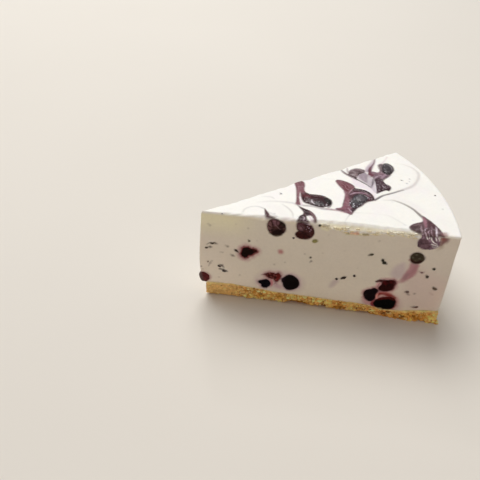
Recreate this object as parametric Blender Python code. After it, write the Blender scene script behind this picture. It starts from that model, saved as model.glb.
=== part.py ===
"""A cut slice of set cream-cheese cake with dark berries, standing on its crumb base.

Frame: +Z up, metres, origin under the middle of the slice's box, on the plane it
rests on. The tip points along -X, the curved rim faces +X, and the two knife cuts
meet at the tip. "front" is the cut on the -Y side, "back" the cut on the +Y side.

Every position on a cut is given as (s, z): s runs along the cut from the tip to
the rim, z is the height. Positions on the top are given as (u, y): u runs from the
tip towards the middle of the rim.
"""

import math

import bmesh
import bpy
from mathutils import Matrix, Vector

MM = 0.001

# ---- the slice -------------------------------------------------------------
RADIUS = 90.0 * MM            # an 18 cm round cake
HALF = math.radians(19.14)    # half the angle between the two cuts
APEX_X = -44.73 * MM          # where the two cuts would meet
HEIGHT_TIP = 40.9 * MM
HEIGHT_RIM = 41.5 * MM
BASE_H = 5.0 * MM             # mean height of the crumb base
GAP = 0.3 * MM                # clearance between neighbouring pieces

TIP_R = 0.45 * MM             # rounding of the tip
CORNER_R = 1.3 * MM           # rounding of the two upright corners at the rim
TOP_SOFT = 1.6 * MM           # how far down the softened top edge reaches
TIP_BULGE = 1.3 * MM          # the tip swells outwards low down
FACE_WAVE = 0.16 * MM         # the cuts are not dead flat
BASE_SETBACK = 0.55 * MM      # the crumb base stands back a little from the cream
BASE_RAG = 0.45 * MM          # and its outline is broken
BASE_TIP = 1.7 * MM           # but at the tip it reaches nearly as far as the cream

TIP_STEPS, FACE_STEPS, CORNER_STEPS, RIM_STEPS = 4, 27, 3, 15

# ---- berries ---------------------------------------------------------------
BULGE = 0.12                  # how much of a berry's dome is left outside a cut
SEGMENTS = 12
# Rings of a berry, from its deepest point to its outer pole, as sines.
RINGS = (-90, -58, -28, 0, 42, 90)

# (name, s, z, radius along s, radius along z, depth radius, sunk, turn, lobe)
FRONT = (
    ("berry_front_01", 27.0, 36.6, 3.6, 3.6, 3.4, 0.4, 0, 0.03),
    ("berry_front_02", 37.3, 36.9, 3.2, 3.8, 3.2, 0.4, -8, 0.10),
    ("berry_front_03", 17.0, 24.1, 3.4, 2.5, 2.6, 0.6, 12, 0.10),
    ("berry_front_04", 23.7, 9.4, 2.2, 2.2, 2.4, 0.3, 0, 0.05),
    ("berry_front_05", 26.6, 14.1, 2.9, 2.1, 2.2, 0.7, 0, 0.09),
    ("berry_front_06", 33.6, 11.5, 3.5, 3.9, 3.5, 0.2, 8, 0.03),
    ("berry_front_08", 79.1, 38.2, 4.1, 3.9, 5.4, -0.2, 0, 0.08),
    ("berry_front_09", 77.3, 30.5, 2.6, 2.7, 2.6, 0.3, 0, 0.02),
    ("berry_front_10", 68.9, 16.6, 3.4, 2.7, 3.1, 0.4, 14, 0.07),
    ("berry_front_11", 63.7, 10.6, 2.3, 3.4, 2.9, 0.4, -16, 0.07),
    ("berry_front_12", 70.5, 7.8, 3.8, 3.8, 3.6, 0.2, -10, 0.03),
)
BACK = (
    ("berry_back_01", 12.8, 26.8, 2.3, 2.5, 2.2, 0.4, 10, 0.05),
    ("berry_back_02", 20.6, 13.0, 3.4, 3.6, 3.4, 0.3, 0, 0.04),
    ("berry_back_03", 29.2, 30.0, 3.5, 3.2, 3.2, 0.4, 20, 0.06),
    ("berry_back_04", 35.4, 9.9, 3.6, 3.5, 3.6, 0.2, 0, 0.03),
    ("berry_back_05", 42.6, 12.6, 2.8, 3.0, 2.9, 0.4, 15, 0.07),
    ("berry_back_06", 46.8, 25.6, 3.2, 3.5, 3.1, 0.5, 0, 0.04),
    ("berry_back_07", 56.0, 18.2, 3.9, 3.4, 3.5, 0.3, -15, 0.06),
    ("berry_back_08", 60.8, 33.4, 3.2, 3.4, 3.2, 0.4, 0, 0.03),
    ("berry_back_09", 64.3, 10.3, 3.2, 3.5, 3.3, 0.3, 0, 0.05),
    ("berry_back_10", 71.2, 13.9, 3.1, 2.9, 3.1, 0.5, 10, 0.08),
    ("berry_back_11", 77.6, 29.4, 3.4, 3.1, 3.2, 0.3, -20, 0.05),
    ("berry_back_12", 82.2, 19.8, 2.4, 2.6, 2.5, 0.4, 0, 0.04),
)
# (name, u, y, radius 1, radius 2, depth radius, sunk, turn, lobe)
TOP = (
    ("berry_top_01", 43.2, -0.6, 4.9, 3.3, 3.2, 0.5, -42, 0.07),
    ("berry_top_02", 60.0, 0.9, 3.8, 3.5, 3.6, 0.4, 0, 0.04),
    ("berry_top_03", 55.6, -5.2, 3.2, 2.2, 2.6, 0.6, 48, 0.08),
    ("berry_top_04", 63.6, 16.4, 3.5, 2.7, 3.0, 0.5, 0, 0.06),
    ("berry_top_05", 76.2, 17.7, 2.8, 3.7, 3.2, 0.4, -22, 0.03),
    ("berry_top_06", 69.3, 5.4, 3.1, 3.4, 3.0, 0.5, -20, 0.08),
)
# The berry on the tip's edge, cut by both knives: (name, s, z, radii, lobe)
TIP_BERRY = ("berry_front_07", 2.5, 9.7, 2.1, 2.5, 0.03)

COLOURS = {
    "filling": ((0.83, 0.79, 0.71, 1.0), 0.45),
    "crumb_base": ((0.50, 0.30, 0.12, 1.0), 0.90),
    "berry": ((0.035, 0.012, 0.022, 1.0), 0.35),
}

FRONT_DIR = Vector((math.cos(HALF), -math.sin(HALF), 0.0))
BACK_DIR = Vector((math.cos(HALF), math.sin(HALF), 0.0))
FRONT_OUT = Vector((-math.sin(HALF), -math.cos(HALF), 0.0))
BACK_OUT = Vector((-math.sin(HALF), math.cos(HALF), 0.0))
UP = Vector((0.0, 0.0, 1.0))
APEX = Vector((APEX_X, 0.0, 0.0))


def smooth(value, low, high):
    """0 below low, 1 above high, and a soft step between."""
    t = min(1.0, max(0.0, (value - low) / (high - low)))
    return t * t * (3.0 - 2.0 * t)


def wave(a, b, seed):
    """A smooth uneven value between about -1 and 1."""
    return (
        math.sin(1.31 * a + 2.1 * seed + 0.7 * math.sin(0.9 * b + seed))
        + math.sin(0.83 * b - 1.7 * seed + 0.9 * math.sin(1.7 * a - seed))
        + 0.6 * math.sin(2.37 * a + 1.9 * b + 3.3 * seed)
    ) / 2.6


def top_height(x):
    """The cake is a touch higher at its rim than at its tip."""
    along = (x - APEX_X) / RADIUS
    return HEIGHT_TIP + (HEIGHT_RIM - HEIGHT_TIP) * smooth(along, 0.0, 1.0)


def base_height(side, s):
    """Height of the crumb base where it shows, along one cut or the rim."""
    mm = s / MM
    if side == "front":
        high = 6.3 - 1.5 * smooth(mm, 4, 42) + 1.0 * smooth(mm, 72, 88)
    elif side == "back":
        high = 5.6 - 0.8 * smooth(mm, 10, 40) + 0.9 * smooth(mm, 55, 85)
    else:
        high = 5.9
    return (high + 0.30 * wave(0.42 * mm, 0.0, 1.7 + len(side))) * MM


def outline(inset, radius=RADIUS, bulge=0.0, rag=0.0, wavy=0.0, level=0.0):
    """The slice's outline seen from above: (point, side, distance) for each station.

    The stations run round the tip, along the front cut, round the rim, and back
    along the back cut, always in the same number, so that levels join up."""
    found = []
    tip = TIP_R
    # Where the tip's arc ends on each cut, measured along the cut from the apex.
    start = (inset + tip) / math.tan(HALF)
    centre = Vector(((inset + tip) / math.sin(HALF), 0.0, 0.0))
    for i in range(TIP_STEPS + 1):
        angle = math.pi - (math.pi / 2 - HALF) * (1 - 2 * i / TIP_STEPS)
        point = centre + tip * Vector((math.cos(angle), math.sin(angle), 0.0))
        found.append((point, "tip", 0.0, Vector((-1.0, 0.0, 0.0))))
    corner = max(0.2 * MM, CORNER_R - 0.4 * inset)
    rim_r = radius - inset
    # Where the rounded upright corner touches the cut: its centre lies corner inside
    # both the cut and the rim.
    along = math.sqrt((rim_r - corner) ** 2 - (inset + corner) ** 2)
    for direction, out, side, order in (
        (FRONT_DIR, FRONT_OUT, "front", 1),
        (BACK_DIR, BACK_OUT, "back", -1),
    ):
        face = []
        for i in range(1, FACE_STEPS + 1):
            s = start + (along - start) * i / FACE_STEPS
            face.append((direction * s - out * inset, side, s, out))
        middle = direction * along - out * (inset + corner)
        outer = math.atan2(middle.y, middle.x)
        first = math.atan2(out.y, out.x)
        turn = (outer - first + math.pi) % (2 * math.pi) - math.pi
        for i in range(1, CORNER_STEPS + 1):
            angle = first + turn * i / CORNER_STEPS
            aim = Vector((math.cos(angle), math.sin(angle), 0.0))
            face.append((middle + corner * aim, side, along + corner * i / CORNER_STEPS, aim))
        if order == 1:
            found += face
            front_end = outer
        else:
            for i in range(1, RIM_STEPS):
                angle = front_end + (outer - front_end) * i / RIM_STEPS
                aim = Vector((math.cos(angle), math.sin(angle), 0.0))
                found.append((rim_r * aim, "rim", radius * (angle - front_end), aim))
            found += face[::-1]
    placed = []
    for number, (point, side, s, aim) in enumerate(found):
        near_tip = 1.0 - smooth(point.x, 0.0, 13.0 * MM)
        shift = Vector((-bulge * near_tip, 0.0, 0.0))
        if wavy:
            shift += aim * wavy * wave(s / MM * 0.16, level / MM * 0.21, 0.6 + 1.3 * len(side))
        if rag:
            shift += aim * rag * (
                0.65 * wave(1.05 * number, level / MM * 0.9, 2.2)
                + 0.35 * wave(2.9 * number, level / MM * 1.7, 5.1)
            )
        placed.append((point + shift, side, s))
    return placed


def tip_bulge(z):
    return TIP_BULGE * smooth(-z, -34 * MM, -16 * MM) * smooth(z, 4 * MM, 9 * MM)


def loft(name, levels, bottom_mid, top_mid):
    """One closed body from matching rings, closed by a middle point at each end."""
    mesh = bpy.data.meshes.new(name)
    bm = bmesh.new()
    rings = [[bm.verts.new(p) for p in ring] for ring in levels]
    count = len(rings[0])
    low = bm.verts.new(bottom_mid)
    high = bm.verts.new(top_mid)
    for under, over in zip(rings, rings[1:]):
        for i in range(count):
            j = (i + 1) % count
            bm.faces.new((under[i], under[j], over[j]))
            bm.faces.new((under[i], over[j], over[i]))
    for i in range(count):
        j = (i + 1) % count
        bm.faces.new((low, rings[0][j], rings[0][i]))
        bm.faces.new((high, rings[-1][i], rings[-1][j]))
    bm.normal_update()
    bm.to_mesh(mesh)
    bm.free()
    thing = bpy.data.objects.new(name, mesh)
    bpy.context.scene.collection.objects.link(thing)
    return thing


def seam(lift):
    """The uneven boundary between base and cream: the inner ring that both share."""
    shared = outline(4.0 * MM)
    heights = [
        base_height("front", 0.0) if side == "tip" else base_height(side, s)
        for _, side, s in shared
    ]
    # The rim joins the cuts without a step.
    count = len(heights)
    for _ in range(3):
        heights = [
            0.25 * heights[i - 1] + 0.5 * heights[i] + 0.25 * heights[(i + 1) % count]
            for i in range(count)
        ]
    ring = [
        APEX + point + UP * (height + lift)
        for (point, _, _), height in zip(shared, heights)
    ]
    inner = [
        APEX + point + UP * (BASE_H + lift) for point, _, _ in outline(9.5 * MM)
    ]
    return ring, inner, heights


def make_filling():
    ring, inner, heights = seam(GAP)
    levels = [inner, ring]
    bottom = outline(0.25 * MM, wavy=FACE_WAVE, level=BASE_H)
    levels.append(
        [APEX + p + UP * (h + GAP) for (p, _, _), h in zip(bottom, heights)]
    )
    for z in (9.0, 15.0, 22.0, 30.0, 36.0):
        height = z * MM
        around = outline(
            0.0, bulge=tip_bulge(height), wavy=FACE_WAVE, level=height
        )
        levels.append([APEX + p + UP * height for p, _, _ in around])
    # The softened top edge: share of its depth, and how far it has come in.
    for share, inset in ((1.0, 0.05), (0.47, 0.35), (0.125, 0.95), (0.0, 1.9)):
        around = outline(inset * MM, wavy=0.5 * FACE_WAVE, level=40 * MM)
        levels.append(
            [
                APEX + p + UP * (top_height(APEX_X + p.x) - share * TOP_SOFT)
                for p, _, _ in around
            ]
        )
    middle = Vector((12.0 * MM, 0.0, 0.0))
    return loft(
        "filling",
        levels,
        middle + UP * (BASE_H + GAP),
        middle + UP * top_height(middle.x),
    )


def make_base():
    ring, inner, heights = seam(0.0)
    levels = []
    for z, inset in ((0.0, 0.9), (0.6, 0.45), (2.2, 0.25)):
        height = z * MM
        around = outline(
            inset * MM + BASE_SETBACK, bulge=BASE_TIP, rag=BASE_RAG, level=height
        )
        levels.append([APEX + p + UP * height for p, _, _ in around])
    upper = outline(
        0.35 * MM + BASE_SETBACK, bulge=BASE_TIP, rag=0.6 * BASE_RAG, level=4.4 * MM
    )
    levels.append([APEX + p + UP * (h - 0.5 * MM) for (p, _, _), h in zip(upper, heights)])
    edge = outline(
        0.9 * MM + BASE_SETBACK, bulge=BASE_TIP, rag=0.3 * BASE_RAG, level=5.0 * MM
    )
    levels.append([APEX + p + UP * h for (p, _, _), h in zip(edge, heights)])
    levels += [ring, inner]
    middle = Vector((12.0 * MM, 0.0, 0.0))
    return loft("crumb_base", levels, middle, middle + UP * BASE_H)


def berry_points(frame, radii, sunk, turn, lobe, grow, seed):
    """Rings of points of one berry. frame = (centre on the surface, e1, e2, outward)."""
    centre, e1, e2, out = frame
    centre = centre - out * sunk
    spin = Matrix.Rotation(math.radians(turn), 3, out)
    e1, e2 = spin @ e1, spin @ e2
    points = []
    for ring in RINGS:
        up, flat = math.sin(math.radians(ring)), math.cos(math.radians(ring))
        count = 1 if abs(ring) == 90 else SEGMENTS
        row = []
        for i in range(count):
            angle = 2 * math.pi * i / SEGMENTS
            uneven = 1.0 + lobe * (
                0.7 * math.sin(3 * angle + 1.9 * seed) + 0.5 * math.sin(2 * angle + seed)
            ) * flat + 0.3 * lobe * math.sin(2.3 * seed) * up
            aim = (
                e1 * radii[0] * flat * math.cos(angle)
                + e2 * radii[1] * flat * math.sin(angle)
                + out * radii[2] * up
            )
            aim *= uneven
            row.append(centre + aim + aim.normalized() * grow)
        points.append(row)
    return points


def flatten(points, planes):
    """Squeezes what stands out of a cut or the top down to a low dome."""
    for row in points:
        for i, point in enumerate(row):
            for out, offset in planes:
                over = point.dot(out) - offset
                if over > 0:
                    point = point - out * over * (1.0 - BULGE)
            row[i] = point
    return points


def skin(name, points):
    mesh = bpy.data.meshes.new(name)
    bm = bmesh.new()
    rows = [[bm.verts.new(p) for p in row] for row in points]
    for under, over in zip(rows, rows[1:]):
        for i in range(SEGMENTS):
            j = (i + 1) % SEGMENTS
            if len(under) == 1:
                bm.faces.new((under[0], over[j], over[i]))
            elif len(over) == 1:
                bm.faces.new((under[i], under[j], over[0]))
            else:
                bm.faces.new((under[i], under[j], over[j]))
                bm.faces.new((under[i], over[j], over[i]))
    bmesh.ops.recalc_face_normals(bm, faces=bm.faces)
    if bm.calc_volume(signed=True) < 0:
        bmesh.ops.reverse_faces(bm, faces=bm.faces)
    bm.to_mesh(mesh)
    bm.free()
    thing = bpy.data.objects.new(name, mesh)
    bpy.context.scene.collection.objects.link(thing)
    return thing


def give_material(thing, kind):
    material = bpy.data.materials.new(kind)
    material.use_nodes = True
    shader = material.node_tree.nodes["Principled BSDF"]
    colour, rough = COLOURS[kind]
    shader.inputs["Base Color"].default_value = colour
    shader.inputs["Roughness"].default_value = rough
    shader.inputs["Metallic"].default_value = 0.0
    thing.data.materials.append(material)


def all_berries():
    """(name, frame, radii, sunk, turn, lobe, planes) of every berry."""
    front_off = APEX.dot(FRONT_OUT)
    back_off = APEX.dot(BACK_OUT)
    for rows, direction, out, offset in (
        (FRONT, FRONT_DIR, FRONT_OUT, front_off),
        (BACK, BACK_DIR, BACK_OUT, back_off),
    ):
        for name, s, z, rs, rz, depth, sunk, turn, lobe in rows:
            on_face = APEX + direction * s * MM + UP * z * MM
            lid = top_height(on_face.x)
            yield (
                name,
                (on_face, direction, UP, out),
                (rs * MM, rz * MM, depth * MM),
                sunk * MM,
                turn,
                lobe,
                ((out, offset), (UP, lid)),
            )
    for name, u, y, r1, r2, depth, sunk, turn, lobe in TOP:
        x = APEX_X + u * MM
        lid = top_height(x)
        yield (
            name,
            (Vector((x, y * MM, lid)), Vector((1, 0, 0)), Vector((0, 1, 0)), UP),
            (r1 * MM, r2 * MM, depth * MM),
            sunk * MM,
            turn,
            lobe,
            ((UP, lid),),
        )
    name, s, z, across, tall, lobe = TIP_BERRY
    bulge = Vector((-TIP_BULGE * 0.75, 0.0, 0.0))
    yield (
        name,
        (APEX + bulge + Vector((s * MM, 0.0, z * MM)), Vector((0, 1, 0)), UP, Vector((-1, 0, 0))),
        (across * MM, tall * MM, across * MM),
        0.0,
        0,
        lobe,
        ((FRONT_OUT, front_off + bulge.dot(FRONT_OUT)), (BACK_OUT, back_off + bulge.dot(BACK_OUT))),
    )


def build():
    for thing in list(bpy.data.objects):
        bpy.data.objects.remove(thing, do_unlink=True)

    filling = make_filling()
    base = make_base()
    give_material(filling, "filling")
    give_material(base, "crumb_base")

    for seed, (name, frame, radii, sunk, turn, lobe, planes) in enumerate(all_berries(), 1):
        shape = berry_points(frame, radii, sunk, turn, lobe, 0.0, seed)
        lowest = min(p.z for row in shape for p in row)
        berry = skin(name, flatten(shape, planes))
        give_material(berry, "berry")
        pocket = skin(
            "pocket_" + name, berry_points(frame, radii, sunk, turn, lobe, GAP, seed)
        )
        pocket.hide_render = True
        pocket.display_type = "WIRE"
        holders = [filling]
        if lowest < 7.5 * MM:
            holders.append(base)
        for holder in holders:
            cut = holder.modifiers.new("room_for_" + name, "BOOLEAN")
            cut.operation = "DIFFERENCE"
            cut.solver = "EXACT"
            cut.object = pocket

    for thing in bpy.context.scene.objects:
        if thing.type == "MESH" and not thing.hide_render:
            thing.data.shade_smooth()
            thing.data.set_sharp_from_angle(angle=math.radians(40))


build()
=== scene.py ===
"""Looks of a slice of set cream-cheese cake with dark berries on a crumb base.

Lengths inside this script are in millimetres from the tip of the slice: u runs from
the tip to the rim, y across, z up. On a cut, s runs from the tip to the rim.
They become metres in the frame of the model when a mesh is made.

Marks are drawn on two sheets, one for the top and one for the front cut,
as soft-edged areas and strokes. A sheet is laid on the cake along a slanting line,
so that a mark can run over the edge between the two faces.
"""

import math

import bmesh
import bpy
import numpy as np
from mathutils import Matrix, Vector


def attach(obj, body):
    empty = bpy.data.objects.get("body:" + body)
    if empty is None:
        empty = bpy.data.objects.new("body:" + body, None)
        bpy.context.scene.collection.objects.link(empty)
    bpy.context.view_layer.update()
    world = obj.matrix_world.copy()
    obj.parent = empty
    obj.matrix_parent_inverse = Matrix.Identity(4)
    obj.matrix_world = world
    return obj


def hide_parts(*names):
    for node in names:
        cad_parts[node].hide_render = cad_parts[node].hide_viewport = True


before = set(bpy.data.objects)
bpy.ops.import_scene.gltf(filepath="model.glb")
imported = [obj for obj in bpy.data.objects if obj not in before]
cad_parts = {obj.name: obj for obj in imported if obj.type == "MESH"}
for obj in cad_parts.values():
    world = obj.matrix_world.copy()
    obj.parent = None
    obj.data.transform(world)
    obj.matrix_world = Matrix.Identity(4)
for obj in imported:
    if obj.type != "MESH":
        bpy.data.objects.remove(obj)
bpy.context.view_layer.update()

# ---------------------------------------------------------------- dimensions
APEX_X = -44.73
R = 90.0
HALF = math.radians(19.14)
H_TIP, H_RIM = 40.9, 41.5
BASE_H = 5.0
CORNER_R = 0.6

FRONT_DIR = np.array([math.cos(HALF), -math.sin(HALF), 0.0])
BACK_DIR = np.array([math.cos(HALF), math.sin(HALF), 0.0])
FRONT_OUT = np.array([-math.sin(HALF), -math.cos(HALF), 0.0])
BACK_OUT = np.array([-math.sin(HALF), math.cos(HALF), 0.0])
UP = np.array([0.0, 0.0, 1.0])
IN_D = R / (1.0 + math.sin(HALF))          # centre of the circle inside the outline
IN_R = IN_D * math.sin(HALF)
EYE = np.array([-14.94, -164.63, 159.42])  # where the slanting lines start
SHEET_Z = 41.2

# Light that falls on each face, relative to a white one: marks are named by the
# colour that they should show, and this gives back their own colour.
TOP_LIGHT = np.array([1.02, 1.02, 1.00])
CUT_LIGHT = np.array([0.530, 0.467, 0.403])


# ---------------------------------------------------------------- small tools
def smooth(value, low, high):
    t = np.clip((np.asarray(value, float) - low) / (high - low), 0.0, 1.0)
    return t * t * (3.0 - 2.0 * t)


def linear(r, g, b):
    c = np.array([r, g, b], float) / 255.0
    return np.where(c <= 0.04045, c / 12.92, ((c + 0.055) / 1.055) ** 2.4)


def T(r, g, b):
    return np.clip(linear(r, g, b) / TOP_LIGHT, 0.001, 0.96)


def F(r, g, b):
    return np.clip(linear(r, g, b) / CUT_LIGHT, 0.001, 0.96)


def hashed(ix, iy, iz, seed):
    with np.errstate(over="ignore"):
        h = (
            ix.astype(np.int64).astype(np.uint32) * np.uint32(73856093)
            ^ iy.astype(np.int64).astype(np.uint32) * np.uint32(19349663)
            ^ iz.astype(np.int64).astype(np.uint32) * np.uint32(83492791)
            ^ np.uint32((seed * 2654435761) & 0xFFFFFFFF)
        )
        h ^= h >> np.uint32(16)
        h *= np.uint32(0x7FEB352D)
        h ^= h >> np.uint32(15)
        h *= np.uint32(0x846CA68B)
        h ^= h >> np.uint32(16)
    return h.astype(np.float64) / 4294967295.0


def noise(P, scale, seed=1):
    """Smooth lattice noise in -1..1. scale is a length, or one for each axis."""
    p = np.asarray(P, float) / np.asarray(scale, float)
    i = np.floor(p)
    f = p - i
    w = f * f * f * (f * (f * 6 - 15) + 10)
    total = 0.0
    for dx in (0, 1):
        for dy in (0, 1):
            for dz in (0, 1):
                weight = (
                    (w[:, 0] if dx else 1 - w[:, 0])
                    * (w[:, 1] if dy else 1 - w[:, 1])
                    * (w[:, 2] if dz else 1 - w[:, 2])
                )
                total = total + weight * hashed(i[:, 0] + dx, i[:, 1] + dy, i[:, 2] + dz, seed)
    return total * 2.0 - 1.0


def fbm(P, scale, octaves=3, seed=1, gain=0.5):
    total, size, top = 0.0, 1.0, 0.0
    scale = np.asarray(scale, float)
    for k in range(octaves):
        total = total + size * noise(P, scale / 2.0**k, seed + 17 * k)
        top += size
        size *= gain
    return total / top


def cells(P, scale, seed=1):
    """Distances to the nearest and second nearest scattered point, and a number
    between 0 and 1 for the cell that each point is in."""
    p = np.asarray(P, float) / scale
    base = np.floor(p)
    first = np.full(len(p), 9.0)
    second = np.full(len(p), 9.0)
    name = np.zeros(len(p))
    for dx in (-1, 0, 1):
        for dy in (-1, 0, 1):
            for dz in (-1, 0, 1):
                c = base + (dx, dy, dz)
                at = c + np.stack(
                    [hashed(c[:, 0], c[:, 1], c[:, 2], seed + k) for k in (0, 1, 2)], 1
                )
                d = np.sqrt(((p - at) ** 2).sum(1))
                near = d < first
                second = np.where(near, first, np.minimum(second, d))
                name = np.where(near, hashed(c[:, 0], c[:, 1], c[:, 2], seed + 5), name)
                first = np.where(near, d, first)
    return first, second, name


def bend(points, step=0.6, closed=False):
    """A smooth curve through rows of numbers, of which the first two are a place."""
    p = np.asarray(points, float)
    if closed:
        ends = np.vstack([p[-1:], p, p[:2]])
    elif len(p) < 3:
        return p
    else:
        ends = np.vstack([2 * p[0] - p[1], p, 2 * p[-1] - p[-2]])
    out = []
    for a, b, c, d in zip(ends, ends[1:], ends[2:], ends[3:]):
        count = max(1, int(math.ceil(np.linalg.norm((c - b)[:2]) / step)))
        t = (np.arange(count) / count)[:, None]
        out.append(
            0.5
            * (
                2 * b
                + (c - a) * t
                + (2 * a - 5 * b + 4 * c - d) * t**2
                + (3 * b - a - 3 * c + d) * t**3
            )
        )
    if not closed:
        out.append(p[-1:])
    return np.vstack(out)


def outside(q, points, step=0.6):
    """Distance of points from a closed smooth curve, negative inside."""
    c = bend(points, step, True)
    n = np.roll(c, -1, axis=0)
    best = np.full(len(q), 1e9)
    inside = np.zeros(len(q), bool)
    for p0, p1 in zip(c, n):
        along = p1 - p0
        length = max(1e-9, along @ along)
        t = np.clip(((q - p0) @ along) / length, 0, 1)
        best = np.minimum(best, ((q - p0 - t[:, None] * along) ** 2).sum(1))
        if p0[1] != p1[1]:
            cross = (p0[1] > q[:, 1]) != (p1[1] > q[:, 1])
            at = p0[0] + (q[:, 1] - p0[1]) / (p1[1] - p0[1]) * along[0]
            inside ^= cross & (q[:, 0] < at)
    d = np.sqrt(best)
    return np.where(inside, -d, d)


class Sheet:
    """Points of a mesh with their places on a sheet, and what is drawn on them."""

    def __init__(self, P, at, colour, mask, wet=None, lift=None):
        self.P, self.at, self.mask = P, at, mask
        self.colour = np.array(colour, float)
        self.wet = np.zeros(len(P)) if wet is None else wet
        self.lift = np.zeros(len(P)) if lift is None else lift

    def near(self, low, high, reach):
        q = self.at
        box = (q[:, 0] > low[0] - reach) & (q[:, 0] < high[0] + reach)
        box &= (q[:, 1] > low[1] - reach) & (q[:, 1] < high[1] + reach) & (self.mask > 0.002)
        return np.nonzero(box)[0]

    def put(self, idx, cover, colour, wet, lift):
        k = np.clip(cover * self.mask[idx], 0, 1)
        self.colour[idx] = self.colour[idx] * (1 - k[:, None]) + colour * k[:, None]
        if wet is not None:
            self.wet[idx] = self.wet[idx] * (1 - k) + wet * k
        if lift > 0:
            self.lift[idx] = np.maximum(self.lift[idx], lift * k)
        elif lift < 0:
            self.lift[idx] += lift * k

    def area(self, points, colour, strength=1.0, soft=0.3, grow=0.0, rag=0.0, size=1.2, wet=None, lift=0.0):
        pts = np.asarray(points, float)
        idx = self.near(pts.min(0), pts.max(0), soft + abs(grow) + rag + 0.8)
        if len(idx):
            d = outside(self.at[idx], pts) - grow
            if rag:
                d = d + rag * fbm(self.P[idx], size, 3, 5)
            self.put(idx, strength * (1 - smooth(d, -soft, soft)), colour, wet, lift)

    def line(self, rows, colour, soft=0.25, strength=1.0, rag=0.0, wet=None, lift=0.0):
        """rows: (a, b, half width) or (a, b, half width, strength)."""
        rows = [r if len(r) == 4 else (*r, 1.0) for r in rows]
        line = bend(rows)
        reach = line[:, 2].max() + soft + rag + 0.2
        idx = self.near(line[:, :2].min(0), line[:, :2].max(0), reach)
        if not len(idx):
            return
        q = self.at[idx]
        b = np.zeros(len(q))
        shift = rag * fbm(self.P[idx], 1.0, 3, 8) if rag else 0.0
        for p0, p1 in zip(line, line[1:]):
            along = p1[:2] - p0[:2]
            length = max(1e-9, along @ along)
            t = np.clip(((q - p0[:2]) @ along) / length, 0, 1)
            d = np.linalg.norm(q - p0[:2] - t[:, None] * along, axis=1) + shift
            width = np.maximum(0.03, p0[2] + (p1[2] - p0[2]) * t)
            power = np.clip(p0[3] + (p1[3] - p0[3]) * t, 0, 1)
            s = np.minimum(soft, width + 0.12)
            b = np.maximum(b, power * (1 - smooth((d - width) / s, -1, 1)))
        self.put(idx, strength * b, colour, wet, lift)

    def spots(self, rows, colour, soft=0.25, strength=1.0, wet=None, lift=0.0, rag=0.0):
        """rows: (a, b, radius) or (a, b, radius, strength)."""
        for row in rows:
            a, b, r = row[:3]
            power = row[3] if len(row) > 3 else 1.0
            idx = self.near((a - r, b - r), (a + r, b + r), soft + rag + 0.1)
            if len(idx):
                d = np.hypot(self.at[idx, 0] - a, self.at[idx, 1] - b) - r
                if rag:
                    d = d + rag * fbm(self.P[idx], 0.9, 3, 9)
                self.put(idx, strength * power * (1 - smooth(d, -soft, soft)), colour, wet, lift)


def to_world(P):
    P = np.asarray(P, float).copy()
    P[:, 0] += APEX_X
    return P * 0.001


def make_piece(name, P, faces, attributes=None, colours=None):
    mesh = bpy.data.meshes.new(name)
    mesh.from_pydata(to_world(P).tolist(), [], faces)
    for key, values in (attributes or {}).items():
        layer = mesh.attributes.new(key, "FLOAT", "POINT")
        layer.data.foreach_set("value", np.asarray(values, np.float32))
    for key, values in (colours or {}).items():
        layer = mesh.attributes.new(key, "FLOAT_COLOR", "POINT")
        rgba = np.ones((len(P), 4), np.float32)
        rgba[:, :3] = values
        layer.data.foreach_set("color", rgba.ravel())
    mesh.update()
    mesh.shade_smooth()
    thing = bpy.data.objects.new(name, mesh)
    bpy.context.scene.collection.objects.link(thing)
    return thing


def normals_of(P, tris):
    tri = P[tris]
    n = np.cross(tri[:, 1] - tri[:, 0], tri[:, 2] - tri[:, 0])
    out = np.zeros_like(P)
    for k in range(3):
        np.add.at(out, tris[:, k], n)
    return out / np.maximum(1e-12, np.linalg.norm(out, axis=1))[:, None]


def lid(u):
    return H_TIP + (H_RIM - H_TIP) * smooth(np.asarray(u, float) / R, 0.0, 1.0)


def wave1(a, seed):
    return (
        np.sin(1.31 * a + 2.1 * seed + 0.7 * math.sin(seed))
        + np.sin(-1.7 * seed + 0.9 * np.sin(1.7 * a - seed))
        + 0.6 * np.sin(2.37 * a + 3.3 * seed)
    ) / 2.6


def seam_height(side, s):
    """Height of the joint between base and cream along the outline."""
    if side == "front":
        high = np.interp(
            s,
            (0, 8, 14, 20, 25, 30, 40, 48, 55, 62, 66, 70, 76, 80, 85, 90),
            (6.6, 6.8, 6.6, 6.0, 5.6, 5.3, 5.2, 5.1, 4.9, 4.7, 4.0, 3.4, 3.6, 4.4, 5.5, 5.9),
        )
    elif side == "back":
        high = 5.8 - 0.8 * smooth(s, 10, 40) + 0.9 * smooth(s, 55, 85)
    else:
        high = 5.9 + 0.0 * s
    return high + 0.14 * wave1(0.42 * s, 1.7 + len(side))


def edge_drop(s):
    """How far the top edge of the front cut is worn down, 0 to 1."""
    return np.interp(
        s, (0, 8, 16, 20, 24, 30, 36, 43, 57, 63, 75, 80, 86, 90),
        (0.12, 0.25, 0.28, 0.60, 0.65, 0.40, 0.38, 1.0, 1.0, 0.7, 0.7, 0.3, 0.0, 0.0),
    )


def on_sheets(P):
    """Places of points on the sheet of the top and on the sheet of the front cut."""
    ray = P - EYE
    t = (SHEET_Z - P[:, 2]) / ray[:, 2]
    top = (P + ray * t[:, None])[:, :2] - (45.0, 0.0)
    a = P @ FRONT_OUT
    t = -a / (ray @ FRONT_OUT)
    Q = P + ray * t[:, None]
    return top, np.stack([Q @ FRONT_DIR, Q[:, 2]], 1)


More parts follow.
